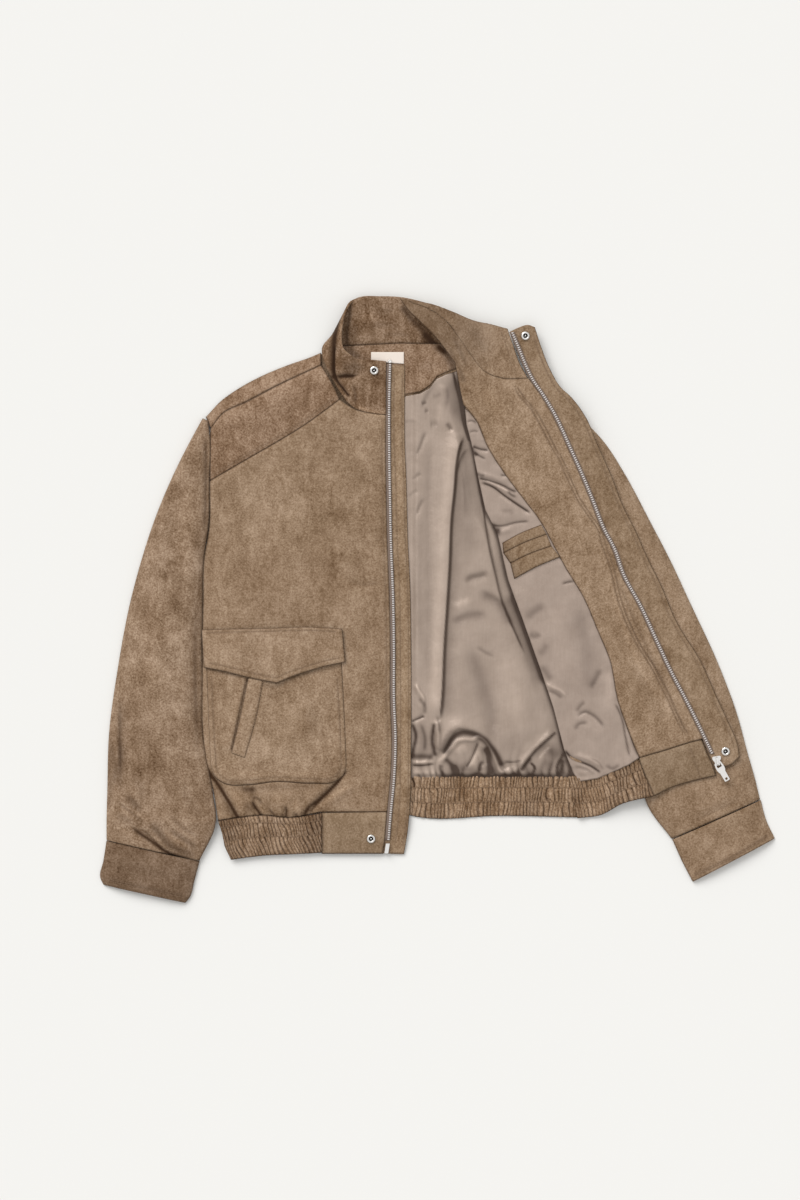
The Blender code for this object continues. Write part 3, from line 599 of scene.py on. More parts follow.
def patch(left, right, top, bottom, u, v):
    """The panel's points for the shares u across and v down: the way from left to right, plus
    the way from top to bottom, less the plain blend of the four corners."""
    a, b = u[None, :, None], v[:, None, None]
    down = (1 - a) * follow(left, v)[:, None, :] + a * follow(right, v)[:, None, :]
    across = (1 - b) * follow(top, u)[None, :, :] + b * follow(bottom, u)[None, :, :]
    corners = ((1 - a) * (1 - b) * left[0] + a * (1 - b) * right[0]
               + (1 - a) * b * left[-1] + a * b * right[-1])
    return down + across - corners


def run_lengths(points):
    """Distance of every grid point from the left, right, top and bottom edges, measured along
    the grid's own lines."""
    over = np.linalg.norm(np.diff(points[:, :, :2], axis=1), axis=2)
    down = np.linalg.norm(np.diff(points[:, :, :2], axis=0), axis=2)
    left = np.pad(np.cumsum(over, axis=1), ((0, 0), (1, 0)))
    top = np.pad(np.cumsum(down, axis=0), ((1, 0), (0, 0)))
    return left, left[:, -1:] - left, top, top[-1:, :] - top


def quads_of(rows, columns):
    """The corners of every quad of a grid, as numbers of its points."""
    number = np.arange(rows * columns).reshape(rows, columns)
    return np.stack([number[:-1, :-1], number[1:, :-1], number[1:, 1:], number[:-1, 1:]],
                    axis=-1).reshape(-1, 4)


def mesh_piece(name, points, quads, material):
    """A smooth mesh of quads from an array of points in millimetres, riding on the garment."""
    mesh = bpy.data.meshes.new(name)
    mesh.vertices.add(len(points))
    mesh.vertices.foreach_set("co", (points * MM).reshape(-1))
    mesh.loops.add(quads.size)
    mesh.loops.foreach_set("vertex_index", quads.reshape(-1))
    mesh.polygons.add(len(quads))
    mesh.polygons.foreach_set("loop_start", np.arange(0, quads.size, 4))
    mesh.update(calc_edges=True)
    mesh.polygons.foreach_set("use_smooth", np.ones(len(quads), bool))
    piece = bpy.data.objects.new(name, mesh)
    bpy.context.scene.collection.objects.link(piece)
    mesh.materials.append(material)
    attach(piece, "garment")
    return piece


def paint_shade(piece, values):
    """Keep the painted shade at each point (below zero, painted light) for the materials to read.
    """
    layer = piece.data.attributes.new("pressed_and_shaded", "FLOAT", "POINT")
    layer.data.foreach_set("value", values)


def cloth_piece(name, points, material, wall, gather, painted_shade):
    """The grid as cloth with a wall, standing for its solid, with its cut worked out and printed:
    the longest row by the longest column, and its own area.  Gathered cloth was cut longer by
    the share gather before its elastic drew it in."""
    rows, columns = points.shape[:2]
    quads = quads_of(rows, columns)
    piece = mesh_piece(name + "_cloth", points.reshape(-1, 3), quads, material)
    # the piece's painted shade and light, clipped, kept as its attribute
    paint_shade(piece, np.clip(painted_shade.reshape(-1), -0.5, 1.0))
    solid = piece.modifiers.new("wall", "SOLIDIFY")
    solid.thickness = wall * MM
    solid.offset = 0.0
    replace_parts(piece, name)
    width = np.linalg.norm(np.diff(points, axis=1), axis=2).sum(axis=1).max() * MM * gather
    length = np.linalg.norm(np.diff(points, axis=0), axis=2).sum(axis=0).max() * MM
    one = points[1:, 1:] - points[:-1, :-1]
    two = points[1:, :-1] - points[:-1, 1:]
    area = 0.5 * np.linalg.norm(np.cross(one, two), axis=2).sum() * MM * MM * gather
    width, length = round(max(width, LEAST_SIDE), 4), round(max(length, LEAST_SIDE), 4)
    area = round(float(np.clip(area, LEAST_SHARE * width * length, width * length)), 7)
    print(f"{name}: cut {width / MM:.0f} x {length / MM:.0f} mm, {area * 1e4:.0f} cm2,"
          f" {2 * rows * columns} faces")


# %% [markdown]
# ## Small things in rows
# A stitch and a zip tooth are the same kind of thing: a short bar whose section swells and
# shrinks, repeated along a line.  A stitch has 14 faces and a tooth 18, and all of a row's bars
# are joined in one mesh, so thousands of them stay light.

# %% Rows of bars
def bar(sections):
    """A bar's points and faces.  Each section is (place along the bar, half width, low, high),
    with four corners."""
    points = np.array([[(s, -w, low), (s, w, low), (s, w, high), (s, -w, high)]
                       for s, w, low, high in sections], float).reshape(-1, 3)
    faces = [(0, 3, 2, 1)]
    for k in range(len(sections) - 1):
        a = 4 * k
        faces += [(a + i, a + (i + 1) % 4, a + 4 + (i + 1) % 4, a + 4 + i) for i in range(4)]
    last = 4 * (len(sections) - 1)
    faces.append((last, last + 1, last + 2, last + 3))
    return points, np.array(faces)


def stations(line, pitch):
    """Evenly spaced places on a line, with the direction along it, the level direction to its
    side, and the direction square to both."""
    steps = np.linalg.norm(np.diff(line, axis=0), axis=1) + 1e-9
    place = np.concatenate([[0.0], np.cumsum(steps)])
    count = max(1, int(place[-1] / pitch))
    at = (np.arange(count) + 0.5) * place[-1] / count
    origin = np.stack([np.interp(at, place, line[:, i]) for i in range(3)], axis=1)
    ahead = np.stack([np.interp(at + 0.5, place, line[:, i]) for i in range(3)], axis=1)
    behind = np.stack([np.interp(at - 0.5, place, line[:, i]) for i in range(3)], axis=1)
    along = ahead - behind
    along /= np.linalg.norm(along, axis=1)[:, None]
    side = np.cross([0.0, 0.0, 1.0], along)
    side /= np.linalg.norm(side, axis=1)[:, None]
    return origin, np.stack([along, side, np.cross(along, side)], axis=1)


def row_of_bars(name, sections, lines, pitch, material, crosswise=False):
    """One mesh of all the bars along the lines.  A bar lies along its line, or crosswise."""
    shape, faces = bar(sections)
    if crosswise:
        shape = np.stack([-shape[:, 1], shape[:, 0], shape[:, 2]], axis=1)
    places = [stations(line, pitch) for line in lines]
    origin = np.concatenate([p[0] for p in places])
    axes = np.concatenate([p[1] for p in places])
    points = origin[:, None, :] + np.einsum("pk,nkj->npj", shape, axes)
    quads = faces[None] + (np.arange(len(origin)) * len(shape))[:, None, None]
    piece = mesh_piece(name, points.reshape(-1, 3), quads.reshape(-1, 4), material)
    piece.data.polygons.foreach_set("use_smooth", np.zeros(len(piece.data.polygons), bool))
    print(f"{name}: {len(origin)} bars")
    return piece


# %% [markdown]
# ## A panel
# The panel function brings these together: spread the grid, lay it at its height, let its sewn
# edges dip, press its stitched rows in, and keep the rows for the stitches that come later.

# %% The panel function
ROW_DEPTH = 0.4         # how deep a stitched row is pressed in
ROW_WIDTH = 1.5         # half width of that furrow
ROW_DARK = 0.6          # painted shade in the furrow for each millimetre of its depth
SEAM_WIDTH = 0.9        # half width of the painted shade line along a seam
CREASE_DARK = 0.8       # painted shade at the bottom of a sharp crease
stitched = []           # every panel adds its stitched rows here


def inset(line, distance, start, end):
    """A line moved sideways by a distance: to the viewer's right of a line that runs down,
    and above a line that runs to the right.  Only the shares from start to end are kept."""
    p = follow(np.asarray(line, float)[:, :2], np.linspace(start, end, 60))
    step = np.gradient(p, axis=0)
    step /= np.linalg.norm(step, axis=1)[:, None] + 1e-9
    return p + distance * np.stack([-step[:, 1], step[:, 0]], axis=1)


def pressed_and_shaded(x, y, rows):
    """The furrows along stitched rows; their depth also sets the painted shade in them."""
    total = np.zeros(x.shape)
    for row in rows:
        gap, share = beside(row, x, y, 1)
        inside = smooth(share / 0.02) * smooth((1 - share) / 0.02)
        total -= ROW_DEPTH * inside * np.exp(-(gap / ROW_WIDTH) ** 2)
    return total


def panel(name, left, right, material, lay, top=None, bottom=None, wall=SUEDE, lift=0.0,
          cell=CELL, tall_cell=None, roll=(1, 1, 1, 1), dip=1.0, reach=2.0, rows=(),
          gather=1.0, extra=None, creases=(), dark=0.8, shade=None,
          tones=()):
    """A cloth panel between seam lines.  lay(x, y) is the height of its wall's middle, and
    extra(x, y, runs) adds to it, where runs are the distances from the four edges.  roll says how
    much of dip each edge (left, right, top, bottom) takes, over a bell of width reach.  creases
    are the fold tables whose sharp troughs get a thin line of painted shade, dark is how much
    painted shade lies along the seams, and shade(x, y, runs) and the table tones add soft painted
    shadows, or painted light where they are negative."""
    left, right = np.asarray(left, float), np.asarray(right, float)
    top = np.asarray([left[0], right[0]] if top is None else top, float)
    bottom = np.asarray([left[-1], right[-1]] if bottom is None else bottom, float)
    tall = max(np.linalg.norm(np.diff(p[:, :2], axis=0), axis=1).sum() for p in (left, right))
    wide = max(np.linalg.norm(np.diff(p[:, :2], axis=0), axis=1).sum() for p in (top, bottom))
    u = np.linspace(0, 1, max(4, round(wide / cell)) + 1)
    v = np.linspace(0, 1, max(4, round(tall / (tall_cell or cell))) + 1)
    points = patch(left, right, top, bottom, u, v)
    runs = run_lengths(points)
    x, y = points[:, :, 0], points[:, :, 1]
    z = points[:, :, 2] if lay is None else lay(x, y)
    z = z + lift
    for share, run in zip(roll, runs):
        z = z - dip * share * np.exp(-(run / reach) ** 2)
    if extra is not None:
        z = z + extra(x, y, runs)
    z = np.maximum(z + pressed_and_shaded(x, y, rows), wall / 2)
    # painted shade in the stitched furrows, along the seams and in the sharp creases, then the soft
    # painted shade and light of shade and of the tones
    painted_shade = -ROW_DARK * pressed_and_shaded(x, y, rows)
    for share, run in zip(roll, runs):
        painted_shade = painted_shade + dark * min(share, 1.0) * np.exp(-(run / SEAM_WIDTH) ** 2)
    for table in creases:
        painted_shade = painted_shade + CREASE_DARK * crease_lines(x, y, table)
    if shade is not None:
        painted_shade = painted_shade + shade(x, y, runs)
    painted_shade = painted_shade + folds(x, y, tones)
    for row in rows:
        height = lay(row[:, 0], row[:, 1]) + lift + wall / 2 - ROW_DEPTH
        stitched.append(np.column_stack([row, height]))
    cloth_piece(name, np.dstack([x, y, z]), material, wall, gather, painted_shade)


def folded(table, fade=None):
    """A function for extra: the folds of a table, fading towards one edge if fade is given as
    (that edge, over how far)."""
    def extra(x, y, runs):
        strength = 1.0 if fade is None else smooth(runs[fade[0]] / fade[1])
        return strength * folds(x, y, table)
    return extra


def even_tone(amount):
    """A function for shade: the whole piece darker by one amount, or lighter if it's negative."""
    return lambda x, y, runs: np.full(x.shape, amount)


# %% [markdown]
# ## The back
# The whole jacket lies on its back panel.  Little of it shows, so it stays plain and flat.

# %% Back
def flat_at(height):
    """A function for lay: one height all over."""
    return lambda x, y: np.full(x.shape, height)


BACK_RIGHT = [(-143, 317), (-221, 285), (-289, 236), (-291, 166), (-296, 70), (-300, 0),
              (-300, -179), (-287, -226)]
BACK_LEFT = [(16, 317), (94, 285), (164, 238), (166, 166), (167, 70), (171, 0), (171, -179),
             (171, -226)]
panel("back", BACK_RIGHT, BACK_LEFT, suede_front, flat_at(FLOOR_LAYER), cell=8.0,
      roll=(0, 0, 0, 0))

# %% [markdown]
# ## Right front, yoke and shoulder
# The front is the largest panel.  Its yoke seam slants down from the neck to the armhole, with a
# row of topstitching just above it, and the back yoke comes forward over the shoulder in a
# narrow strip.  The front blouses over the elastic, so it's full of small gathers there.

# %% Right front
FRONT_EDGE = shifted(ZIP_RIGHT, -EDGE_BACK)
front_left_line = curve(SIDE_RIGHT[1:9])
front_right_line = along([(-66, 237)], FRONT_EDGE[2:11])
front_top_line = along(YOKE_SEAM, NECK_FRONT_RIGHT)
front_bottom_line = along(HEM_SEAM_RIGHT, FRONT_EDGE[10:11])

ELASTIC_START, ELASTIC_END = -276, -153     # x of the elastic under the closed front
# painted shade along the creases and gathers at the hem and the pocket's corners, painted light
# below zero; columns: half widths, darkness, share faded at each end: the points of the line
HEM_TONES = fold_rows("""
    1.6 2.4 0.75 0.06: -298 -210, -291 -224, -282 -234, -271 -251, -263 -264, -258 -273, -253 -282
    8 6 0.28 0.15: -295 -215, -282 -237, -268 -259, -255 -282
    5 6 -0.12 0.3: -277 -230, -266 -246, -253 -264, -243 -276
    2.4 2 0.8 0.08: -117 -215, -125 -228, -132 -236, -143 -247, -153 -256, -166 -266, -170 -275
    4 7 0.25 0.2: -122 -228, -140 -246, -161 -264
    2.4 2.4 -0.26 0.25: -109 -236, -125 -244, -140 -255, -153 -266
    3 3 0.14 0.3: -104 -238, -122 -251, -138 -264
    5 3 0.24 0.15: -268 -238, -240 -239, -189 -237, -143 -236
    4 3.5 0.45 0.35: -253 -239, -241 -242, -230 -238
    4 4 0.28 0.3: -235 -238, -236 -247, -237 -256
    1.5 2.2 0.8 0.12: -237 -255, -234 -264, -228 -271, -225 -279
    1.8 1.6 0.5 0.25: -237 -256, -232 -252, -227 -255, -225 -261
    4 4 0.3 0.35: -244 -256, -240 -265, -239 -274
    2 2.4 -0.28 0.3: -230 -259, -225 -266, -220 -275
    1.6 1.6 0.6 0.25: -216 -266, -211 -271, -207 -278
    2 1.6 0.6 0.25: -198 -271, -199 -282
    1.8 2.2 0.7 0.2: -195 -261, -193 -269, -194 -279
    8 8 -0.22 0.3: -186 -256, -181 -264, -180 -271
    2 2 0.7 0.25: -179 -271, -181 -282
    1.4 1.4 0.5 0.3: -173 -270, -175 -279
    2.2 1.8 0.8 0.15: -164 -264, -168 -271, -170 -282
    5 5 -0.12 0.35: -214 -250, -202 -255, -196 -264
    7 6 -0.12 0.35: -255 -238, -255 -256, -248 -271
""")
# painted light along the neck seam, against the shade of the collar's foot
NECK_SEAM = fold_rows("1.8 1.8 -0.5 0.1: -104 246, -85 239, -66 236")
HEM_GATHERS = fold_rows("""
    2 2.6 -1.8 0.4: -225 -279, -231 -266, -235 -257
    2.4 2 -1.3 0.5: -200 -282, -208 -270
    1.8 2.2 -1.5 0.5: -193 -279, -193 -264
    2 2 -1.4 0.5: -168 -279, -171 -266
    2.4 2.2 -1.2 0.5: -253 -284, -253 -271
    2 1.8 -1 0.5: -181 -279, -182 -269
""")


def stronger(table, times):
    """The same folds or tones, deeper by a share."""
    return [(line, left, right, times * height, fade) for line, left, right, height, fade in table]


def hem_puffs(x, y, runs):
    """Uneven gathers where the front is drawn into the elastic: troughs running up from the
    seam, most of all near it, and only along the elastic."""
    up = runs[BOTTOM]
    wander = 0.9 * np.sin(x / 7.3) + 0.8 * np.sin(x / 17.0 + 1.0)
    gathers = np.abs(np.sin((x + 2.2 * np.sin(up / 9.0) + 3.0 * wander) * math.pi / 13.0))
    strength = np.exp(-up / 11.0)
    strength = strength * smooth((ELASTIC_END - x) / 12.0) * smooth((x - ELASTIC_START) / 8.0)
    return strength * (2.6 * gathers ** 0.7 - 1.6) + folds(x, y, HEM_GATHERS)


def front_shade(x, y, runs):
    """The hollows between the gathers lie in shadow."""
    return -0.10 * np.minimum(hem_puffs(x, y, runs), 0.0)


panel("front_right", front_left_line, front_right_line, suede_front, front_height,
      top=front_top_line, bottom=front_bottom_line, roll=(0.6, 0.4, 1.0, 1.0),
      rows=[inset(front_right_line, -5.0, 0.03, 0.99)], extra=hem_puffs, dip=1.2, reach=1.7,
      creases=(FRONT_FOLDS, HEM_GATHERS), tones=stronger(HEM_TONES, 1.2) + NECK_SEAM,
      shade=front_shade)

panel("yoke_right", [curve(SHOULDER_SEAM)[0], curve(YOKE_SEAM)[0]], curve(NECK_SIDE_RIGHT),
      suede_yoke, front_height, top=curve(SHOULDER_SEAM), bottom=curve(YOKE_SEAM),
      rows=[inset(curve(YOKE_SEAM), 5.0, 0.01, 0.99)], dip=1.2, reach=1.7)

panel("shoulder_right", [SHOULDER_FOLD[0], SHOULDER_SEAM[0]],
      [SHOULDER_FOLD[-1], SHOULDER_SEAM[-1]], suede_yoke, front_height,
      top=curve(SHOULDER_FOLD), bottom=curve(SHOULDER_SEAM), roll=(1, 1, 0.2, 1), dip=1.2,
      reach=1.7)

# %% [markdown]
# ## Sleeves and cuffs
# A sleeve that lies down is a tube pressed flat: its lower wall is on the table, it turns up at
# the outer fold, and its upper wall comes back as a low dome.  One grid goes all the way round.
# The first quarter of its width is the lower wall.  Creases are added to the upper wall only.

# %% Sleeve function
LOWER_SHARE = 0.25      # share of the grid's width that the lower wall takes
ROUNDING = 2.6          # 2 is a half ellipse, and more is flatter on top with tighter folds
END_REACH = 2.4         # how far the cloth dips at a tube's two seamed ends


def tube(name, rows, material, inner_end, creases, cells=(70, 240),
         ends=(1.0, 1.0), slow=0.5, rows_pressed=(), tones=()):
    """Each row is a section: its outer and inner points and the height of its upper wall.
    inner_end(x, y) is the height at which the upper wall meets the inner seam.  ends is how
    deep the two ends dip, and slow is how uneven the cloth lies."""
    table = np.array(rows, float)
    outer, inner = curve(table[:, 0:2], 8), curve(table[:, 2:4], 8)
    share = np.linspace(0, 1, len(outer))
    v = np.linspace(0, 1, cells[1] + 1)
    ax, ay = np.interp(v, share, outer[:, 0]), np.interp(v, share, outer[:, 1])
    bx, by = np.interp(v, share, inner[:, 0]), np.interp(v, share, inner[:, 1])
    top = np.interp(v, np.linspace(0, 1, len(table)), table[:, 4])
    u = np.linspace(0, 1, cells[0] + 1)
    upper = u > LOWER_SHARE
    t = np.where(upper, (u - LOWER_SHARE) / (1 - LOWER_SHARE), (LOWER_SHARE - u) / LOWER_SHARE)
    t = np.where(upper, 0.5 - 0.5 * np.cos(np.pi * t), t)[None, :]
    x = mix(ax[:, None], bx[:, None], t)
    y = mix(ay[:, None], by[:, None], t)
    arch = np.sqrt(np.clip(1 - np.abs(1 - 2 * t) ** ROUNDING, 0, 1))
    base = mix(FLOOR_LAYER, inner_end(bx, by)[:, None], t)
    points = np.dstack([x, y, base])
    runs = run_lengths(points)
    free = smooth(t / 0.1) * smooth((1 - t) / 0.06)
    z = base + (top[:, None] - base) * arch
    z = z + free * (folds(x, y, creases) + unrest(x, y, 8, 60.0, slow))
    for strength, run in zip(ends, runs[2:]):
        z = z - strength * np.exp(-(run / END_REACH) ** 2)
    z = z + pressed_and_shaded(x, y, rows_pressed)
    for row in rows_pressed:
        gap = np.hypot(x[None] - row[:, 0, None, None], y[None] - row[:, 1, None, None])
        nearest = np.where(upper[None, None, :], gap, 1e9).reshape(len(row), -1).argmin(axis=1)
        stitched.append(np.column_stack([row, z.reshape(-1)[nearest] + SUEDE / 2]))
    z = np.where(upper[None, :], np.maximum(z, FLOOR_LAYER), FLOOR_LAYER)
    points = np.dstack([x, y, z])
    # painted shade in the creases, the stitched furrows, along the inner seam and at the two sewn
    # ends, with the tones' painted shade and light, on the upper wall only
    painted_shade = 0.7 * crease_lines(x, y, creases) - ROW_DARK * pressed_and_shaded(x, y, rows_pressed)
    painted_shade = painted_shade + folds(x, y, tones) + 0.45 * np.exp(-(runs[RIGHT] / 1.2) ** 2)
    for strength, run in zip(ends, runs[2:]):
        painted_shade = painted_shade + 0.38 * strength * np.exp(-run ** 2)
    painted_shade = np.where(upper[None, :], painted_shade, 0.0)
    cloth_piece(name, points, material, SUEDE, 1.0, painted_shade)


# %% [markdown]
# The right sleeve hangs beside the body.  Above the cuff it bunches into slanting creases, and a
# long soft hollow runs down beside the body and another by the outer fold.

# %% Right sleeve
RIGHT_CREASES = fold_rows("""
    5 3 -3.2 0.25: -383 -289, -368 -300, -351 -317, -330 -330, -308 -334
    5 6 2.6 0.25: -404 -271, -381 -279, -355 -305, -319 -323
    5 6 -1.8 0.35: -412 -256, -391 -271, -368 -289
    6 6 -1.3 0.35: -345 -271, -327 -289, -301 -305
    6 6 1.5 0.35: -368 -264, -342 -284, -309 -310
    9 6 -1.1 0.35: -308 0, -310 -77, -308 -154, -305 -218
    6 9 -1.8 0.35: -405 -115, -406 -179, -404 -243
    12 12 1.2 0.35: -381 -128, -383 -205, -373 -256
    4 5 -1.2 0.2: -296 218, -296 154, -298 77
    16 18 1 0.3: -349 0, -355 -102, -349 -205
    12 12 -1 0.3: -327 166, -340 102, -335 26
""")
# painted shade along the creases above the cuff and beside the body, painted light on ridges below
# zero, and darker patches near the outer fold
RIGHT_TONES = fold_rows("""
    2.2 2.6 1 0.12: -391 -287, -381 -297, -368 -306, -358 -314, -348 -321, -332 -326, -314 -332
    2.4 2.4 -0.42 0.2: -374 -294, -359 -305, -349 -314, -332 -323, -312 -329
    4 7 0.6 0.2: -372 -282, -359 -294, -348 -307, -336 -317, -321 -324, -305 -328
    4 4 0.42 0.25: -345 -291, -324 -305, -304 -319
    3 3 -0.2 0.3: -355 -289, -335 -305, -312 -319
    5 4 0.5 0.3: -401 -248, -388 -257, -378 -273
    5 5 0.26 0.35: -414 -274, -399 -278, -386 -284
    4 4 -0.14 0.3: -412 -289, -394 -297, -373 -311
    5 9 0.22 0.3: -404 -115, -405 -179, -401 -243
    8 5 0.2 0.35: -308 51, -309 -51, -309 -141, -305 -218
    4 5 0.25 0.3: -417 -154, -419 -218, -419 -275
    4 5 0.28 0.3: -410 -169, -404 -195, -409 -224, -401 -250
    2.6 2.6 0.26 0.3: -417 -180, -412 -211, -415 -246
    5 5 0.14 0.35: -392 -218, -378 -243, -382 -266
    4 3 0.3 0.25: -298 218, -296 154, -298 77
    10 10 -0.1 0.3: -317 166, -322 102, -322 0
    16 16 -0.08 0.3: -355 51, -365 -51, -368 -154
    6 6 0.14 0.3: -330 -230, -317 -256, -299 -284
""")
# columns: the outer fold, the inner seam, the height of the upper wall
right_rows = [(-300, 232, -294, 229, 8), (-317, 201, -291, 201, 11), (-337, 161, -292, 159, 12.5),
              (-362, 101, -293, 100, 14), (-380, 45, -300, 49, 15), (-391, 4, -301, 4, 15),
              (-409, -90, -301, -92, 15), (-420, -173, -300, -179, 15),
              (-422, -243, -288, -247, 16), (-423, -282, -284, -284, 16),
              (-423, -307, -305, -333, 12)]
tube("sleeve_right", right_rows, suede_sleeve, front_shape, RIGHT_CREASES, tones=RIGHT_TONES,
     ends=(1.0, 0.5))

RIGHT_CUFF_CREASES = fold_rows("""
    8 10 0.9 0.3: -417 -323, -368 -340, -314 -348
    5 5 -0.6 0.4: -400 -335, -368 -348, -330 -364
""")
right_cuff = [(-423, -308, -305, -334, 12), (-427, -334, -312, -360, 11.5),
              (-431, -355, -317, -379, 10), (-427, -364, -323, -387, 8.5)]
cuff_edge = curve([(-322, -387), (-374, -375), (-427, -364)])
tube("cuff_right", right_cuff, suede_cuff, flat_at(FOLD_LAYER), RIGHT_CUFF_CREASES,
     cells=(76, 26), ends=(0.5, 0.7), slow=0.3,
     rows_pressed=[inset(cuff_edge, distance, 0.04, 0.96) for distance in (-6.0, -8.6)])

# %% [markdown]
# The left sleeve lies under the opened front, and only its outer part and the cuff show.

# %% Left sleeve
LEFT_CREASES = fold_rows("""
    8 8 0.8 0.35: 323 -271, 362 -256, 397 -238
    4 5 -0.8 0.35: 316 -289, 351 -271, 392 -253
    10 12 -0.7 0.3: 336 -128, 356 -179, 374 -230
""")
left_rows = [(185, 232, 172, 228, 6), (214, 200, 171, 202, 8), (239, 161, 171, 160, 10),
             (271, 101, 172, 100, 11.5), (300, 45, 180, 51, 12.5), (319, 4, 193, 4, 12.5),
             (362, -90, 236, -92, 12.5), (383, -147, 252, -147, 12.5),
             (396, -195, 258, -201, 12.5), (406, -230, 269, -262, 12.5),
             (412, -255, 300, -305, 10.5)]
tube("sleeve_left", left_rows, suede_front, flat_at(FOLD_LAYER), LEFT_CREASES, slow=0.15,
     cells=(56, 190))
left_cuff = [(413, -256, 301, -306, 11), (420, -282, 313, -333, 10), (431, -305, 327, -360, 8.5)]
cuff_edge = curve([(327, -360), (374, -338), (431, -305)])
tube("cuff_left", left_cuff, suede_front, flat_at(FOLD_LAYER), (), cells=(76, 26),
     ends=(0.4, 0.4), slow=0.3,
     rows_pressed=[inset(cuff_edge, distance, 0.04, 0.96) for distance in (6.0, 8.6)])

# %% [markdown]
# ## Pocket
# The patch pocket has rounded lower corners, a slanted side entry with a welt along it, and a
# pointed flap.  Each lies one layer above the last, on the same dome as the front.

# %% Pocket
patch_left = curve([(-296, -54), (-294, -115), (-291, -179), (-289, -212)])
patch_right = curve([(-124, -54), (-121, -115), (-118, -179), (-117, -212)])
patch_bottom = curve([(-289, -212), (-285, -225), (-273, -234), (-240, -236), (-208, -232),
                      (-163, -234), (-132, -232), (-121, -224), (-117, -212)])
patch_outline = np.vstack([patch_left, patch_bottom[1:-1], patch_right[::-1]])
SLIT = [(-240, -92), (-253, -154), (-263, -195)]
WELT_EDGE = [(-221, -92), (-231, -147), (-246, -201)]


def pocket_lay(x, y):
    """The front's height under the pocket, without its gathers, and a little fuller."""
    return front_height(x, y) + LAYER


POCKET_FOLDS = [(SLIT, 1.6, 1.6, -1.3, 0.06),
                (shifted(SLIT, -6), 4.0, 5.0, 0.8, 0.1)] + fold_rows("""
    8 8 -0.7 0.4: -258 -189, -276 -205, -284 -220
    24 24 1.2 0.4: -189 -115, -176 -154, -189 -205
    10 10 -0.6 0.4: -138 -115, -131 -166, -135 -211
""")
# painted shadow in the slit, under the flap and along the bottom seam, and painted light below zero
POCKET_TONES = fold_rows("""
    1.5 1.3 0.9 0.06: -243 -97, -253 -143, -264 -195
    3 3 -0.1 0.2: -273 -220, -214 -223, -138 -220
    1.6 1.6 0.35 0.05: -276 -232, -240 -234, -208 -232, -163 -233, -130 -230
    9 9 0.12 0.35: -170 -128, -157 -154, -161 -186
    2.6 2 0.4 0.03: -296 -88, -272 -93, -240 -101, -205 -110, -189 -102, -163 -93, -138 -87,
        -120 -83
""")
panel("pocket_patch", patch_left, patch_right, suede_pocket, pocket_lay, bottom=patch_bottom,
      rows=[inset(patch_outline, 6.0, 0.08, 0.92)], roll=(0.7, 0.7, 0, 1.1), dip=1.3, cell=1.8,
      reach=1.6, creases=(POCKET_FOLDS,), dark=0.75, tones=POCKET_TONES,
      extra=folded(POCKET_FOLDS))
panel("pocket_welt", curve(SLIT), curve(WELT_EDGE), suede_pocket, pocket_lay, lift=LAYER,
      rows=[inset(curve(WELT_EDGE), -0.5, 0.05, 0.97)], roll=(1, 0.35, 0, 0.25), cell=1.2,
      wall=0.8)
flap_bottom = along([(-298, -86), (-272, -91), (-240, -99), (-205, -106)],
                    [(-205, -106), (-189, -99), (-163, -90), (-138, -83), (-118, -79)])
flap_left = curve([(-301, -38), (-300, -58), (-298, -86)])
flap_right = curve([(-122, -37), (-120, -59), (-118, -79)])
flap_top = curve([(-301, -38), (-225, -36), (-150, -35), (-122, -37)])
panel("pocket_flap", flap_left, flap_right, suede_flap, front_height, bottom=flap_bottom,
      top=flap_top, lift=3 * LAYER, dip=1.1, wall=1.8, reach=1.5, cell=1.4, dark=0.8,
      rows=[inset(flap_bottom, 6.5, 0.02, 0.98), inset(flap_top, -4.0, 0.02, 0.97)])

# %% [markdown]
# ## Hem
# The hem is a band of suede gathered on elastic, with plain doubled ends at the zip.  Stitched
# rows through the elastic hold the gathers down, and between them the suede stands up in uneven
# ridges with sharp creases between: a sine raised to a power below one, whose phase wanders.

# %% Gathers
RUCHE_PITCH = 4.9       # from one large ridge to the next
RUCHE_HEIGHT = 2.8
GATHERED_WALL = 0.9
GATHERED_CUT = 1.45     # cut this many times longer than it lies
ROW_HOLD = 0.55         # share of a ridge's height that a stitched row takes away
print("the hem's large ridges are", RUCHE_PITCH, "mm apart and", RUCHE_HEIGHT, "mm high")


def ruche(across, along, tier, seed):
    """Ridges that run across the band, and how deep each point lies, from 0 on a ridge to 1 in
    a crease.  across is the distance along the band's length, along the one down its depth, and
    tier counts the stitched rows above.  The ridges wander, swell unevenly and shift a little
    at each stitched row, and the large ones have smaller ones between them."""
    draw = np.random.default_rng(seed)
    a, b, c, d = draw.uniform(0, 2 * math.pi, 4)
    wander = (2.4 * np.sin(across / 13.0 + a) + 1.3 * np.sin(across / 4.7 + b + along / 21.0)
              + 0.6 * np.sin(along / 5.0 + c + across / 9.0)
              + 1.3 * np.sin(2.6 * tier + across / 6.0))
    large = np.abs(np.sin((across + wander) * math.pi / RUCHE_PITCH)) ** 0.7
    fine = 0.45 * RUCHE_PITCH
    small = np.abs(np.sin((across + 1.3 * wander + 1.4) * math.pi / fine)) ** 0.6
    swell = 0.65 + 0.35 * np.sin(across / 4.1 + d + along / 8.0 + 2.0 * tier)
    ridge = np.minimum(large, 0.45 + 0.25 * swell + 0.5 * small)
    deep = (0.5 + 0.5 * swell) * np.exp(-((large / 0.55) ** 2))
    deep = deep + (0.9 - 0.5 * swell) * np.exp(-((small / 0.45) ** 2))
    return RUCHE_HEIGHT * swell * (ridge - 0.6), np.clip(deep, 0.0, 1.0)


def band_rows(top, bottom, shares):
    """Lines across the band at shares of its depth."""
    t = np.linspace(0, 1, 80)
    upper, lower = follow(curve(top), t), follow(curve(bottom), t)
    return [mix(upper, lower, share)[1:-1] for share in shares]


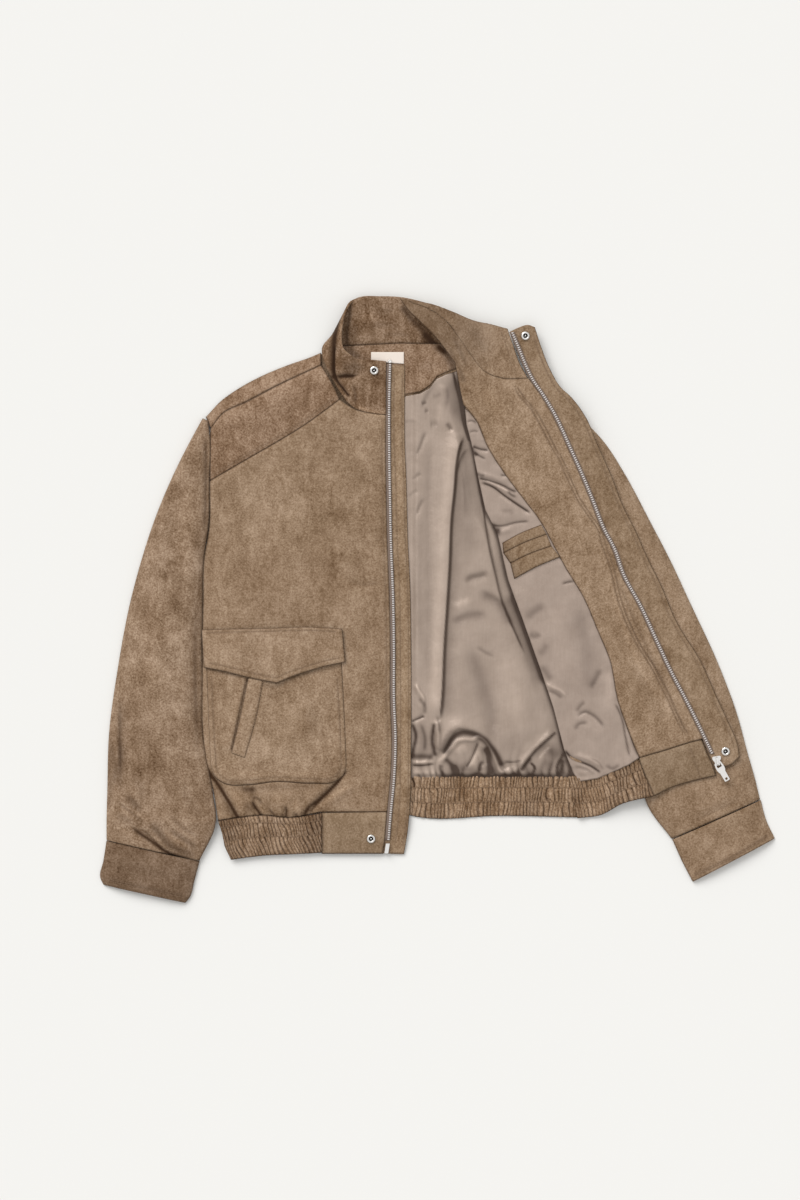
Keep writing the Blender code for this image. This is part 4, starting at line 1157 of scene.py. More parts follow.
def gathered_band(name, left, right, top, bottom, lay, seed, shares, lift, shadow):
    """A hem band between its seam lines.  seed starts its ridges, shares are the places of its
    stitched rows down its depth, and shadow is how much darker than the rest it lies."""
    def band_share(runs):
        """How far down the band each point is, and how many stitched rows are above it."""
        share = runs[TOP] / np.maximum(runs[TOP] + runs[BOTTOM], 1e-6)
        return share, sum((share > at).astype(float) for at in shares)

    def extra(x, y, runs):
        """The ridges, drawn in at both edges and along the stitched rows."""
        share, tier = band_share(runs)
        held = np.ones(x.shape)
        for at in shares:
            held = held * (1 - ROW_HOLD * np.exp(-((share - at) / 0.06) ** 2))
        return held * ruche(runs[LEFT], runs[TOP], tier, seed)[0] - 0.9 * (1 - held)

    def shade(x, y, runs):
        """Painted shade in the creases between the ridges and painted light on the ridges, and
        patches that are darker and lighter.
        """
        tier = band_share(runs)[1]
        patches = 0.12 * np.sin(runs[LEFT] / 23.0 + seed) + 0.10 * np.sin(runs[LEFT] / 9.0 + tier)
        return 1.35 * ruche(runs[LEFT], runs[TOP], tier, seed)[1] - 0.28 + shadow + patches

    panel(name, left, right, suede_gathered, lay, top=curve(top), bottom=curve(bottom),
          wall=GATHERED_WALL, lift=lift, cell=0.68, tall_cell=1.7, roll=(0.5, 0.5, 1, 1),
          dip=1.2, gather=GATHERED_CUT, extra=extra, shade=shade)
    for row in band_rows(top, bottom, shares):
        height = lay(row[:, 0], row[:, 1]) + lift + 0.6
        stitched.append(np.column_stack([row, height]))


def opened_hem_floor(x, y):
    """The opened hem's fold lies on the back hem and then comes down."""
    fold = reading(FOLD_LEFT_CURVE, y)
    return opened_floor(x, y) + 3.4 * np.exp(-(np.maximum(x - fold, 0.0) / 9.0) ** 2)


# %% Hem bands and their plain ends
BAND_FLOOR = 1.3        # the back band's wall lies at this height before its ridges
gathered_band("hem_elastic_right", left=[(-280, -284), (-275, -300), (-272, -315), (-264, -332)],
              right=[(-148, -272), (-148, -324)], top=HEM_SEAM_RIGHT[:4] + [(-148, -272)],
              bottom=[(-264, -332), (-250, -330), (-235, -328), (-214, -326), (-189, -325),
                      (-148, -323)],
              lay=front_shape, seed=21, shares=(0.18, 0.52), lift=2.2, shadow=0.16)
gathered_band("hem_back", left=[(-273, -224), (-275, -271)], right=[(172, -224), (179, -278)],
              top=[(-273, -224), (-38, -224), (172, -224)],
              bottom=[(-275, -271), (-54, -271), (-22, -278), (80, -276), (179, -278)],
              lay=flat_at(BAND_FLOOR), seed=22, shares=(0.3, 0.65), lift=1.2,
              shadow=-0.10)
gathered_band("hem_elastic_left", left=[(168, -225), (179, -279)],
              right=[(255, -200), (263, -221), (276, -250)],
              top=[(168, -225), (204, -223), (223, -216), (244, -206), (255, -200)],
              bottom=[(179, -279), (208, -275), (236, -260), (276, -250)],
              lay=opened_hem_floor, seed=23, shares=(0.3, 0.65), lift=2.4,
              shadow=0.06)

panel("hem_tab_right", [(-148, -272), (-148, -324)], FRONT_EDGE[10:13], suede_band, front_shape,
      lift=(TAB - SUEDE) / 2, wall=TAB, dip=1.1, roll=(0.8, 1, 0.4, 1),
      rows=[inset([(-148, -273), (-148, -324)], 2.5, 0.05, 0.95)])
TAB_TOP = [(256, -201), (291, -191), (326, -180), (337, -178)]
TAB_BOTTOM = [(276, -250), (298, -239), (317, -233), (336, -228), (355, -224)]
panel("hem_tab_left", curve([(256, -201), (264, -221), (276, -250)]),
      curve([(337, -178), (344, -196), (351, -211), (355, -224)]), suede_band, opened_shell,
      top=curve(TAB_TOP), bottom=curve(TAB_BOTTOM), lift=(TAB - SUEDE) / 2, wall=TAB,
      dip=1.2, rows=[inset([(326, -182), (342, -227)], -6.0, 0.1, 0.98)],
      roll=(0.6, 1, 0.5, 0.8), shade=even_tone(0.12))

# %% [markdown]
# ## Zip edge of the closed front
# Behind the closed front's zip lies a placket.  The zip's tape comes out from under the front's
# edge, and its teeth stand on the tape's free edge.

# %% Placket and tape
def underlap_height(x, y):
    """A little below the zip's edge."""
    return edge_height(x, y) - UNDERLAP_DROP


placket_edge = curve([(-42, 300), (-42, 262), (-42, 205), (-40, 154), (-38, 77), (-35, 13),
                      (-34, -51), (-34, -192), (-35, -256), (-38, -294), (-43, -325)])
# The underlap is painted lighter all over, against the shade that the front's edge casts on it.
panel("placket_right", curve(shifted(ZIP_RIGHT, -EDGE_BACK - 3.0)), placket_edge, suede_placket,
      underlap_height, roll=(0, 0.8, 0.5, 0.5), shade=even_tone(-0.17), cell=1.3,
      tall_cell=3.0, dip=0.8,
      rows=[inset(placket_edge, -3.2, 0.01, 0.99), inset(placket_edge, -13.5, 0.01, 0.99)])
panel("zip_tape_right", curve(shifted(ZIP_RIGHT[:-1], -EDGE_BACK + SEAM)),
      curve(shifted(ZIP_RIGHT[:-1], 2.2)), tape_weave, edge_height, wall=TAPE,
      cell=1.2, tall_cell=4.0, roll=(0, 0.4, 0, 0), dip=0.5)

# %% [markdown]
# ## Zip teeth
# A tooth is a short bar set across the tape, wider at its head, where it hooks into the other
# side, and low at its foot, where it grips the tape's cord.

# %% Teeth
TOOTH_PITCH = 2.87
TOOTH = [(-1.6, 0.45, 0.1, 0.7), (-1.2, 0.75, -0.1, 1.1), (0.4, 0.78, -0.1, 1.35),
         (1.1, 0.95, 0.0, 1.35), (1.6, 0.65, 0.2, 1.0)]


def zip_teeth(name, line, lay, head):
    """Teeth along a zip line, their heads towards the free edge (head is 1 or -1)."""
    path = curve(line)
    height = lay(path[:, 0], path[:, 1]) + TAPE / 2
    path = np.column_stack([path, height])
    shape = [(head * s, w, low, high) for s, w, low, high in TOOTH]
    shape = shape if head > 0 else shape[::-1]
    piece = row_of_bars(name + "_teeth", shape, [path], TOOTH_PITCH, zip_nickel, True)
    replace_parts(piece, name)


zip_teeth("zip_chain_right", ZIP_RIGHT[:-1], edge_height, 1)

# %% [markdown]
# ## Back lining
# The satin lining is cut wider than the shell, so it lies in deep folds.  The longest one is a
# pleat from the neck to the hem: it rises slowly on one side and drops steeply on the other.
# Near the hem the spare cloth piles up in an arch above small gathers.

# %% Lining of the back
LINING_PLEAT = [(35, 212), (28, 197), (24, 177), (21, 141), (17, 102), (15, 51), (12, 0),
                (8, -64), (6, -115), (3, -156)]
LINING_BESIDE = [(48, 186), (52, 154), (58, 122), (62, 90), (67, 61), (74, 32), (80, 6),
                 (89, -19), (100, -44), (113, -72)]
LINING_ARCH = [(4, -195), (11, -183), (17, -172), (25, -163), (34, -163), (43, -165), (52, -168),
               (60, -174), (67, -182), (74, -191), (79, -201), (83, -212)]
LINING_RIM = [(4, -209), (11, -197), (19, -188), (26, -180), (36, -178), (47, -178), (53, -175),
              (60, -179), (66, -187), (71, -197), (76, -209), (81, -219), (90, -218), (100, -211)]
LINING_FOLDS = [(LINING_PLEAT, 18.0, 2.4, 5.0, 0.06),
                (LINING_BESIDE, 10.0, 2.0, 2.4, 0.12),
                (LINING_ARCH, 2.6, 10.0, 4.2, 0.05),
                (LINING_RIM, 3.0, 2.2, 2.8, 0.08)] + fold_rows("""
    6 2.5 3.6 0.15: 3 -151, 1 -179, -1 -201
    6 6 -1.3 0.15: -10 205, -12 102, -11 0, -12 -102
    7 7 1 0.2: -28 205, -29 102, -28 0, -26 -102
    3 2 1.6 0.3: 42 195, 33 188, 28 177, 25 161
    3 5 1.1 0.3: 31 169, 34 141, 35 102
    6 3.5 -2.2 0.3: 34 20, 42 28, 53 31, 68 35
    7 4 -1.8 0.25: 51 13, 65 6, 79 -3, 89 -18, 98 -38
    9 5 -1.8 0.3: 16 -32, 29 -23, 48 -18, 67 -20
    6 6 1.5 0.3: 19 -14, 33 -5, 49 -1
    3 3 -1.3 0.3: 49 -59, 61 -67, 75 -74
    12 9 -2.2 0.2: 39 -51, 52 -90, 66 -128, 72 -179
    16 16 2 0.25: 86 -64, 99 -115, 106 -166
    16 16 1.4 0.25: 22 -51, 26 -102, 29 -147
    2 2.4 -2.2 0.2: 52 -180, 48 -192, 42 -205, 36 -215
    6 6 1.9 0.3: 20 -197, 31 -191, 42 -187
    3 4 -2.6 0.25: 56 -186, 60 -198, 60 -215
    5 2.2 2.9 0.1: 152 -166, 138 -179, 125 -191, 115 -202, 106 -215
    3 3 -2 0.25: 147 -182, 135 -192, 126 -205
    4 2 2.4 0.2: -30 -105, -24 -115, -17 -127, -20 -138, -19 -147
    2 3 -2.4 0.2: -34 -156, -25 -152, -16 -148
    2 2 -1.5 0.3: -1 -146, 2 -159, 3 -173
    2 3 -1.9 0.3: -28 -164, -28 -179, -30 -192
    2.4 2 -2.2 0.2: -4 -164, -4 -182, -1 -200
    2 3 2.1 0.3: -34 -209, -20 -209, -6 -205
    2.5 4 -1.4 0.3: -15 218, -21 200, -29 182
    2.5 4 -1.2 0.3: -20 163, -34 154
    2.5 4 -1.1 0.3: -25 142, -39 132
    2.5 4 -1.3 0.3: -17 132, -25 116, -29 104
    2.5 2.5 -1.2 0.3: -21 250, -13 253
    2.5 2.5 -1.1 0.3: -17 242, -11 241
    5 5 -1.1 0.3: -10 225, 1 225
    2.6 3 -1.6 0.3: 11 227, 19 215
""")
# painted shade beside the pleat, in the troughs, under the arch and along the hem, and painted
# light on ridges below zero
LINING_TONES = [(LINING_PLEAT, 1.0, 2.2, 0.70, 0.04),
                (shifted(LINING_PLEAT, 3.0), 2.5, 11.0, 0.28, 0.08),
                (shifted(LINING_PLEAT, -9.0), 7.0, 7.0, -0.20, 0.08),
                (LINING_BESIDE, 1.3, 1.2, 0.60, 0.08),
                (shifted(LINING_BESIDE[:6], 5.5), 3.0, 3.5, -0.18, 0.2),
                (LINING_RIM, 1.5, 1.5, -0.34, 0.08)] + fold_rows("""
    4.5 4.5 0.14 0.12: -10 210, -12 102, -11 0, -12 -115
    4 4 0.08 0.2: -20 128, -24 26, -22 -77
    13 13 0.14 0.2: 38 173, 39 115, 44 51
    1.2 1.2 0.3 0.3: 42 195, 33 188, 28 177, 25 161
    1.5 2 0.12 0.3: 31 169, 34 141, 35 102
    5 4 0.4 0.3: 34 20, 42 28, 53 31, 68 35
    8 4 0.4 0.2: 51 13, 65 6, 79 -3, 89 -18, 98 -38
    9 4 0.34 0.25: 16 -32, 29 -23, 48 -18, 67 -20
    5 5 -0.16 0.3: 19 -14, 33 -5, 49 -1
    2.5 2.5 0.28 0.3: 49 -59, 61 -67, 75 -74
    11 8 0.26 0.18: 42 -58, 54 -96, 67 -134, 74 -186
    12 14 -0.12 0.25: 86 -64, 98 -115, 103 -173
    10 4 0.42 0.1: 89 10, 99 -8, 109 -32, 121 -64, 138 -109
    6 7 0.26 0.3: 15 289, 15 266, 20 243, 25 225
    6 6 0.3 0.2: 22 292, 26 266, 30 241, 34 218
    2.4 1 0.6 0.05: 19 297, 24 276, 29 259, 33 241, 36 220, 42 202
    4 2 0.2 0.3: 11 276, 13 261, 10 241
    3 3 0.26 0.25: -2 282, -10 269, -17 256, -22 243
    2.6 2.6 0.2 0.3: 6 266, -2 261, -8 261
    2.6 2.6 0.22 0.3: -10 276, -15 271, -22 268
    2.4 2.4 -0.16 0.3: -1 274, 4 274, 11 271
    4 4 -0.16 0.3: 2 253, 3 241, -1 225
    3 3 -0.14 0.3: 13 220, 24 212, 33 215
    2 2 0.16 0.3: -45 228, -35 229, -26 228
    4.6 3.8 0.8 0.06: 7 -200, 12 -189, 17 -179, 24 -172, 31 -169, 42 -170, 51 -173, 60 -178,
        67 -186, 74 -195, 79 -205, 83 -215
    3 3 0.3 0.2: 4 -195, 8 -182, 15 -170, 24 -164
    2 1.6 -0.35 0.25: -1 -207, 8 -200, 15 -193
    1.2 1.8 0.75 0.15: 52 -180, 48 -192, 42 -205, 36 -215
    6 6 -0.22 0.3: 22 -198, 33 -191, 42 -187
    4.6 4.2 0.8 0.15: 58 -187, 65 -197, 67 -212, 70 -224
    2.2 2.2 0.55 0.25: 54 -220, 54 -211, 60 -205
    3.5 3.5 -0.28 0.3: 42 -215, 48 -200, 54 -189
    3.4 3.4 0.62 0.2: 8 -201, 17 -210, 24 -224
    2.4 2.4 0.6 0.2: 4 -209, 3 -216, 8 -225
    1.6 1.6 0.6 0.2: 22 -210, 26 -218, 26 -228
    2 2 0.4 0.3: 42 -227, 52 -223, 62 -225
    6 6 0.22 0.25: 13 -210, 34 -215, 52 -218
    1.4 1.4 0.5 0.2: 84 -206, 95 -207, 109 -205
    1.6 1.6 -0.3 0.25: 84 -221, 94 -219, 104 -211
    3.4 3.4 0.55 0.25: 88 -227, 98 -223, 107 -218
    2.6 2.6 0.55 0.2: 106 -220, 112 -210, 121 -201
    1.6 1.6 0.85 0.15: 118 -207, 124 -214, 120 -225
    1.8 1.8 0.8 0.1: 153 -224, 153 -212, 158 -202, 164 -192
    4 4 0.5 0.2: 159 -202, 159 -215, 162 -225
    6 6 0.2 0.3: 131 -205, 144 -212, 141 -223
    1.2 2 0.75 0.06: 152 -168, 138 -180, 125 -192, 115 -204, 106 -218
    7 7 0.3 0.3: 139 -189, 148 -195, 158 -202
    4 4 -0.15 0.3: 106 -195, 121 -182, 138 -168
    1.6 1.2 -0.3 0.2: -30 -105, -24 -115, -17 -127
    2.5 2.5 0.45 0.2: -25 -124, -16 -136, -17 -147
    1.5 1.7 0.9 0.15: -34 -156, -25 -152, -16 -148
    1.6 1.6 0.5 0.3: -1 -146, 2 -159, 3 -173
    2.2 2.4 0.75 0.1: -33 -156, -28 -172, -31 -192, -34 -205
    2.4 2.4 0.38 0.2: -22 -156, -16 -177, -17 -195
    3 2 0.8 0.1: -4 -156, -6 -179, -2 -201
    4 3.6 0.48 0.12: -34 -200, -20 -200, -4 -201
    1.6 1.6 0.7 0.15: -34 -211, -17 -211, -3 -209
    1.4 1.4 -0.35 0.2: -34 -206, -17 -207, -4 -205
    3.6 3.6 -0.22 0.15: -34 -219, -17 -220, -1 -220
    1.4 1.4 0.5 0.3: -26 -221, -21 -228
    1.8 2.6 0.34 0.25: -15 218, -21 200, -29 182
    2 2.4 0.24 0.25: -20 163, -34 154
    2 2.4 0.22 0.25: -25 142, -39 132
    1.8 2.4 0.26 0.25: -17 132, -25 116, -29 104
    2.4 2.4 0.35 0.3: -21 250, -13 253
    2.6 2.6 0.35 0.3: -17 242, -11 241
    5 5 0.22 0.3: -12 225, 3 225
    2.4 2.8 0.45 0.3: 11 227, 19 215
    2 4.6 0.62 0.03: -2 -227, 54 -227, 172 -227
    12 8 0.24 0.1: 3 -218, 80 -219, 164 -218
    9 9 0.16 0.2: 138 -182, 144 -200, 147 -215
    12 12 0.14 0.15: -30 -156, -17 -182, -17 -207
""")


def hem_gathers(x, y):
    """Uneven gathers, high at the hem seam and gone about 20 mm above it."""
    up = y - BACK_HEM
    wander = 3.0 * np.sin(x / 13.0) + 2.0 * np.sin(x / 5.7 + 1.0)
    wander = wander + 2.5 * np.sin(up / 7.0 + x / 19.0)
    ridge = np.abs(np.sin((x + wander) * math.pi / 12.0)) ** 0.7
    swell = 0.7 + 0.3 * np.sin(x / 8.3 + 2.0)
    return np.exp(-up / (7.0 + 7.0 * swell)) * swell * (3.4 * ridge - 1.8)


def lining_height(x, y):
    """The lining on the back, with its folds, and flat where other pieces lie on it."""
    z = 0.8 * folds(x, y, LINING_FOLDS) + unrest(x, y * 0.35, 5, 42.0, 0.7)
    z = z + 3.0 + hem_gathers(x, y)
    z = LINING_LAYER + np.where(z > 0.5, z, 0.5 * np.exp(np.minimum(2 * z - 1.0, 0.0)))
    clear = smooth((reading(FOLD_LEFT_CURVE, y) - 3.0 - x) / 14.0)
    clear = clear * smooth((x - UNDERLAP_EDGE) / 9.0) * smooth((y - BACK_HEM + 2.0) / 6.0)
    return mix(LINING_LAYER, z, clear)


def lining_shade(x, y, runs):
    """Painted shadow on the lining under the fold of the opened front and at the hem seam,
    painted shade in the hollows of the hem's gathers and painted light on their ridges, and
    more painted shade towards the hem.
    """
    under = np.maximum(reading(FOLD_LEFT_CURVE, y) - x, 0.0)
    drawn = 0.3 * np.exp(-(y - BACK_HEM) / 4.0) - 0.40 * np.maximum(hem_gathers(x, y), -1.4)
    foot = 0.15 * smooth((SHADOW_TOP - y) / 30.0)
    return 0.7 * np.exp(-(under / 2.8) ** 1.5) + 0.2 * np.exp(-under / 10.0) + drawn + foot


panel("lining_back",
      [(-48, 259), (-49, 154), (-47, 51), (-44, -51), (-44, -228)],
      [(25, 293), (36, 256), (44, 218), (57, 166), (70, 122), (95, 51), (116, 0), (143, -77),
       (164, -154), (173, -186), (185, -228)],
      lining_satin, lining_height,
      top=[(-48, 259), (-40, 261), (-22, 264), (-10, 271), (-1, 283), (12, 289), (25, 293)],
      wall=SATIN, cell=1.85, roll=(0, 0, 1, 0), dip=0.3, dark=0.6,
      tones=stronger(LINING_TONES, 1.3), shade=lining_shade)

# %% [markdown]
# ## Neck
# Inside the neck a suede facing covers the lining's edge, and a blank woven label is sewn on it.

# %% Neck facing and label
FACING_FOLDS = fold_rows("""
    6 8 0.8 0.3: -22 314, -3 305, 16 307
    5 5 -0.5 0.3: -28 292, -10 300, 3 292
""")
# painted shade by the fold of the opened front and the collar's corner, and painted light below
# zero
NECK_TONES = fold_rows("""
    5 5 0.6 0.15: -4 325, 7 319, 16 305, 22 289
    4 4 0.45 0.2: -112 329, -109 317, -97 311
    5 5 0.14 0.3: -25 292, -15 297, -2 292
    5 4 0.5 0.3: -10 329, 3 323, 12 311
""")
panel("neck_facing", [(-125, 330), (-92, 261)], [(19, 332), (24, 296)], suede_yoke,
      lambda x, y: NECK_LAYER + folds(x, y, FACING_FOLDS),
      top=[(-125, 330), (-48, 333), (19, 332)],
      bottom=[(-92, 260), (-48, 260), (-40, 263), (-22, 266), (-10, 274), (-1, 286), (12, 292),
              (24, 296)],
      roll=(0, 0, 1, 0.8), dip=0.6, tones=NECK_TONES,
      shade=even_tone(0.02))
panel("neck_label", [(-85, 317), (-85, 305)], [(-43, 317), (-43, 302)], label_weave,
      flat_at(NECK_LAYER), lift=SUEDE / 2 + SEAM + SATIN / 2, wall=0.8, cell=1.2,
      roll=(0.4, 0.4, 0.4, 0.4), dip=0.3)

# %% [markdown]
# ## Collar
# The stand collar is one strip, seen in three stretches.  Over the closed front it is folded
# forward and shows its outside; behind the neck it stands open; and along the opened front it
# lies flat with its inside up.  The first stretch is spread between the neck seam and the
# collar's top edge, both given in three dimensions.

# %% Collar on the closed front
def lifted(line):
    """A smooth line through points that have heights too."""
    return curve(line, 10)


COLLAR_FOOT = [(-66, 237, 6.8), (-85, 239, 9.0), (-106, 245, 10.5), (-120, 259, 11.0),
               (-131, 276, 10.0), (-140, 294, 8.0), (-147, 315, 7.0), (-147, 321, 7.0),
               (-135, 337, 8.0), (-122, 361, 9.0), (-111, 381, 9.0)]
COLLAR_TOP = [(-66, 305, 6.8), (-86, 307, 10.0), (-103, 308, 14.0), (-113, 314, 18.0),
              (-120, 321, 20.0), (-122, 332, 21.0), (-122, 339, 21.0), (-121, 352, 20.0),
              (-117, 369, 17.0), (-112, 379, 13.0), (-108, 382, 11.0)]
COLLAR_CREASES = fold_rows("""
    2.6 4.5 -3.4 0.12: -130 325, -131 305, -129 284, -118 266, -112 259
    4.5 4 -2 0.25: -129 285, -115 285, -97 289
    6 5 1.4 0.3: -118 302, -104 300, -92 305
    4 5 -0.8 0.3: -109 275, -104 256, -107 246
    4 3 1.4 0.2: -136 317, -139 292, -129 269, -117 253
""")
# painted shade in the collar's creases and along its fold, and painted light on its ridges below
# zero
COLLAR_TONES = fold_rows("""
    5.2 2.2 1.15 0.08: -120 370, -125 356, -129 340, -131 323, -132 305, -132 289, -129 280
    2.4 2.2 1.15 0.08: -132 289, -129 280, -121 271, -112 259
    3.4 3 0.85 0.2: -130 285, -120 287, -104 285
    9 9 0.4 0.3: -125 293, -109 298, -97 305
    2 4 -0.22 0.2: -130 326, -130 307, -129 292
    4 4 -0.18 0.25: -145 317, -143 300, -135 282
    3 3 0.3 0.25: -106 276, -106 262, -106 250
    4 4 -0.14 0.3: -118 274, -109 266, -99 266
    1.6 1.6 -0.3 0.15: -124 335, -122 323, -115 315, -102 310
    1.8 1.8 -0.2 0.2: -117 370, -122 353, -124 335
    2 2 -0.7 0.12: -66 239, -85 241, -103 247
""")
panel("collar_right", lifted(COLLAR_FOOT), lifted(COLLAR_TOP), suede_collar, None,
      wall=COLLAR, cell=1.3, tall_cell=1.6, roll=(0.8, 0, 0, 0), dip=1.2,
      extra=folded(COLLAR_CREASES, (RIGHT, 8.0)),
      creases=(COLLAR_CREASES,), tones=COLLAR_TONES, dark=0.6)

# %% Collar behind the neck
BACK_CREASES = fold_rows("""
    5 7 -1.6 0.2: -48 379, -40 369, -25 356, -7 343
    7 7 0.9 0.3: -97 361, -84 346, -89 333
    6 6 -0.6 0.3: -68 374, -61 361, -66 343
""")
# painted shade along the collar's edges and under the opened front's fold, and painted light below
# zero
BACK_TONES = fold_rows("""
    2.4 3 0.75 0.08: -111 380, -113 361, -116 339, -115 324
    5 5 0.24 0.3: -104 356, -107 339, -104 325
    5 3 0.7 0.1: -47 378, -35 361, -22 348, -11 337, 1 325
    6 5 0.6 0.2: -22 342, -10 330, 7 320
    4 4 0.18 0.3: -92 349, -71 352, -45 348
    3 3 0.2 0.3: -74 338, -53 340, -28 338
    5 5 0.16 0.3: -84 371, -68 369, -53 372
    5 5 -0.12 0.3: -102 369, -84 361, -74 356
    2.4 2.4 -0.12 0.1: -108 384, -74 388, -48 387
""")
panel("collar_back",
      lifted([(-111, 382, 9.4), (-122, 362, 8.6), (-128, 346, 6.6), (-131, 325, 4.4)]),
      [(13, 370, 8.0), (16, 356, 7.0), (19, 343, 6.0), (19, 328, 4.6)],
      suede_collar, None,
      top=lifted([(-111, 382, 9.4), (-99, 387, 10.0), (-74, 388, 9.0), (-48, 387, 9.0),
                  (-16, 380, 9.0), (13, 370, 8.0)]),
      bottom=[(-131, 325, 4.4), (-48, 329, 4.2), (19, 328, 4.6)],
      wall=COLLAR, cell=1.7, roll=(0, 0, 0, 1.3), dip=1.3,
      extra=folded(BACK_CREASES, (TOP, 10.0)),
      tones=BACK_TONES, dark=0.6)

# %% Collar along the opened front
LEFT_COLLAR_FOLDS = fold_rows("""
    4 6 -0.9 0.15: -10 369, 10 351, 26 329, 42 307, 60 287
    7 7 1.1 0.2: 11 361, 29 340, 47 317, 65 297
    8 8 -0.8 0.3: 42 353, 54 330, 67 307
    4 4 -0.5 0.2: 80 342, 88 317, 95 292
""")
# painted shade beside the fold and along the placket's two stitched rows, and painted light below
# zero
LEFT_COLLAR_TONES = fold_rows("""
    3 2.6 0.45 0.1: -8 370, -1 361, 10 353, 19 342, 26 329, 36 316, 48 302
    3 3 -0.14 0.3: -2 370, 11 361, 26 346
    7 7 0.14 0.3: 42 353, 54 330, 67 307
    0.9 0.9 0.32 0.05: 81 344, 89 320, 96 289
    0.9 0.9 0.28 0.05: 86 340, 94 317, 100 285
""")


NECK_DARKER_FOOT, NECK_DARKER_END = 279, 99   # lowest y and greatest x of the darkening


def darker_towards_neck(x, y, runs):
    """The cloth is darker towards the neck."""
    return 0.32 * smooth((y - NECK_DARKER_FOOT) / 50.0) * smooth((NECK_DARKER_END - x) / 60.0)


panel("collar_left",
      [(-36, 381), (-10, 374)], curve([(89, 346), (97, 323), (104, 303), (115, 283)]),
      suede_facing, opened_facing,
      top=curve([(-36, 381), (-10, 378), (16, 369), (48, 356), (67, 352), (89, 346)]),
      bottom=curve([(-10, 374), (15, 353), (29, 334), (44, 312), (62, 291), (80, 284), (115, 283)]),
      lift=(COLLAR - SUEDE) / 2, wall=COLLAR, cell=1.8, roll=(0.3, 1, 0.4, 0.5), dip=0.6,
      extra=folded(LEFT_COLLAR_FOLDS),
      tones=LEFT_COLLAR_TONES, shade=darker_towards_neck, dark=0.6)

# %% [markdown]
# ## Opened front
# The left front is turned over its sleeve.  Its shell lies face down, and the suede facing and
# the satin lining lie on it.  The facing runs up to the collar as a narrow tongue.

# %% Shell and facing
facing_zip_seam = shifted(ZIP_LEFT, -TAPE_HALF)
panel("front_left", curve(FOLD_INSIDE), curve(shifted(ZIP_LEFT[3:17], -TAPE_HALF - 1.0)),
      suede_front, opened_shell, cell=6.0, roll=(0, 0, 0, 0),
      bottom=[(176, -223), (208, -219), (259, -197), (323, -175)]
      + shifted(ZIP_LEFT[16:17], -TAPE_HALF - 1.0))
FACING_OUTER = along([(-33, 382), (-8, 376), (15, 355), (30, 335), (45, 314), (62, 292),
                      (81, 284), (115, 284)], facing_zip_seam[4:17] + [(338, -177)])
FACING_INNER = along([(-48, 385), (-39, 372), (-22, 355), (-4, 337), (12, 317), (22, 303)],
                     FACING_EDGE)
WELT_LINE = [(100, 276), (108, 262), (125, 241), (138, 218), (148, 198), (159, 179), (170, 154),
             (180, 132), (195, 109), (208, 90), (214, 70), (223, 45), (234, 0), (246, -32),
             (259, -58), (275, -83), (285, -102), (298, -128), (310, -154), (321, -175)]
FACING_CREASES = fold_rows("""
    3 5 -0.6 0.15: 259 -64, 275 -87, 290 -115, 308 -151, 323 -177
    4 3 0.7 0.2: 275 -79, 290 -108, 305 -136, 321 -164
    16 16 0.9 0.3: 157 102, 182 51, 208 -13
    4 4 1.2 0.2: -10 351, 11 330, 26 312, 36 292
    14 14 0.8 0.3: 42 282, 67 218, 106 166
""")
# painted shade along the welt's two stitched rows with painted light on the ridge between them, and
# painted shade by the fold and the creases
FACING_TONES = [(WELT_LINE, 0.9, 0.9, 0.34, 0.03),
                (shifted(WELT_LINE, -4.2), 0.9, 0.9, 0.30, 0.03),
                (shifted(WELT_LINE, -1.9), 1.4, 1.4, -0.16, 0.03),
                (WELT_LINE[12:], 1.2, 1.0, 0.25, 0.15)] + fold_rows("""
    3 3 0.24 0.25: 19 342, 25 325, 31 312, 39 297
    4 4 0.35 0.3: 24 294, 29 285, 34 276
    1.6 2.6 0.26 0.2: 12 324, 21 308, 30 291, 36 274
    9 9 -0.12 0.3: 54 274, 70 253, 85 230
    9 9 0.09 0.3: 244 -70, 267 -115, 290 -159
    1.2 3.6 0.28 0.2: 225 38, 243 -10, 271 -72, 301 -128
    2 2 -0.14 0.2: 216 38, 230 -13, 254 -77, 285 -134
    1.4 1.2 -0.35 0.12: 15 311, 21 292, 28 271, 34 253
    1.6 1.2 0.8 0.1: 11 311, 17 292, 24 271, 30 252
    10 10 -0.08 0.3: 157 218, 180 169, 198 122
""")
panel("facing_left", FACING_INNER, FACING_OUTER, suede_facing, opened_facing,
      bottom=[(257, -201), (291, -191), (326, -180), (338, -177)],
      roll=(1.0, 0.2, 0, 1), dip=0.9, cell=2.0,
      rows=[curve(WELT_LINE), curve(shifted(WELT_LINE, -4.2))],
      extra=folded(FACING_CREASES),
      creases=(FACING_CREASES,), tones=FACING_TONES, shade=darker_towards_neck, dark=0.7)

# %% [markdown]
# The front's own lining is a narrow piece of satin beside the facing.  It is full of short
# creases that run in from the facing's seam, where the two were sewn at unequal tension.

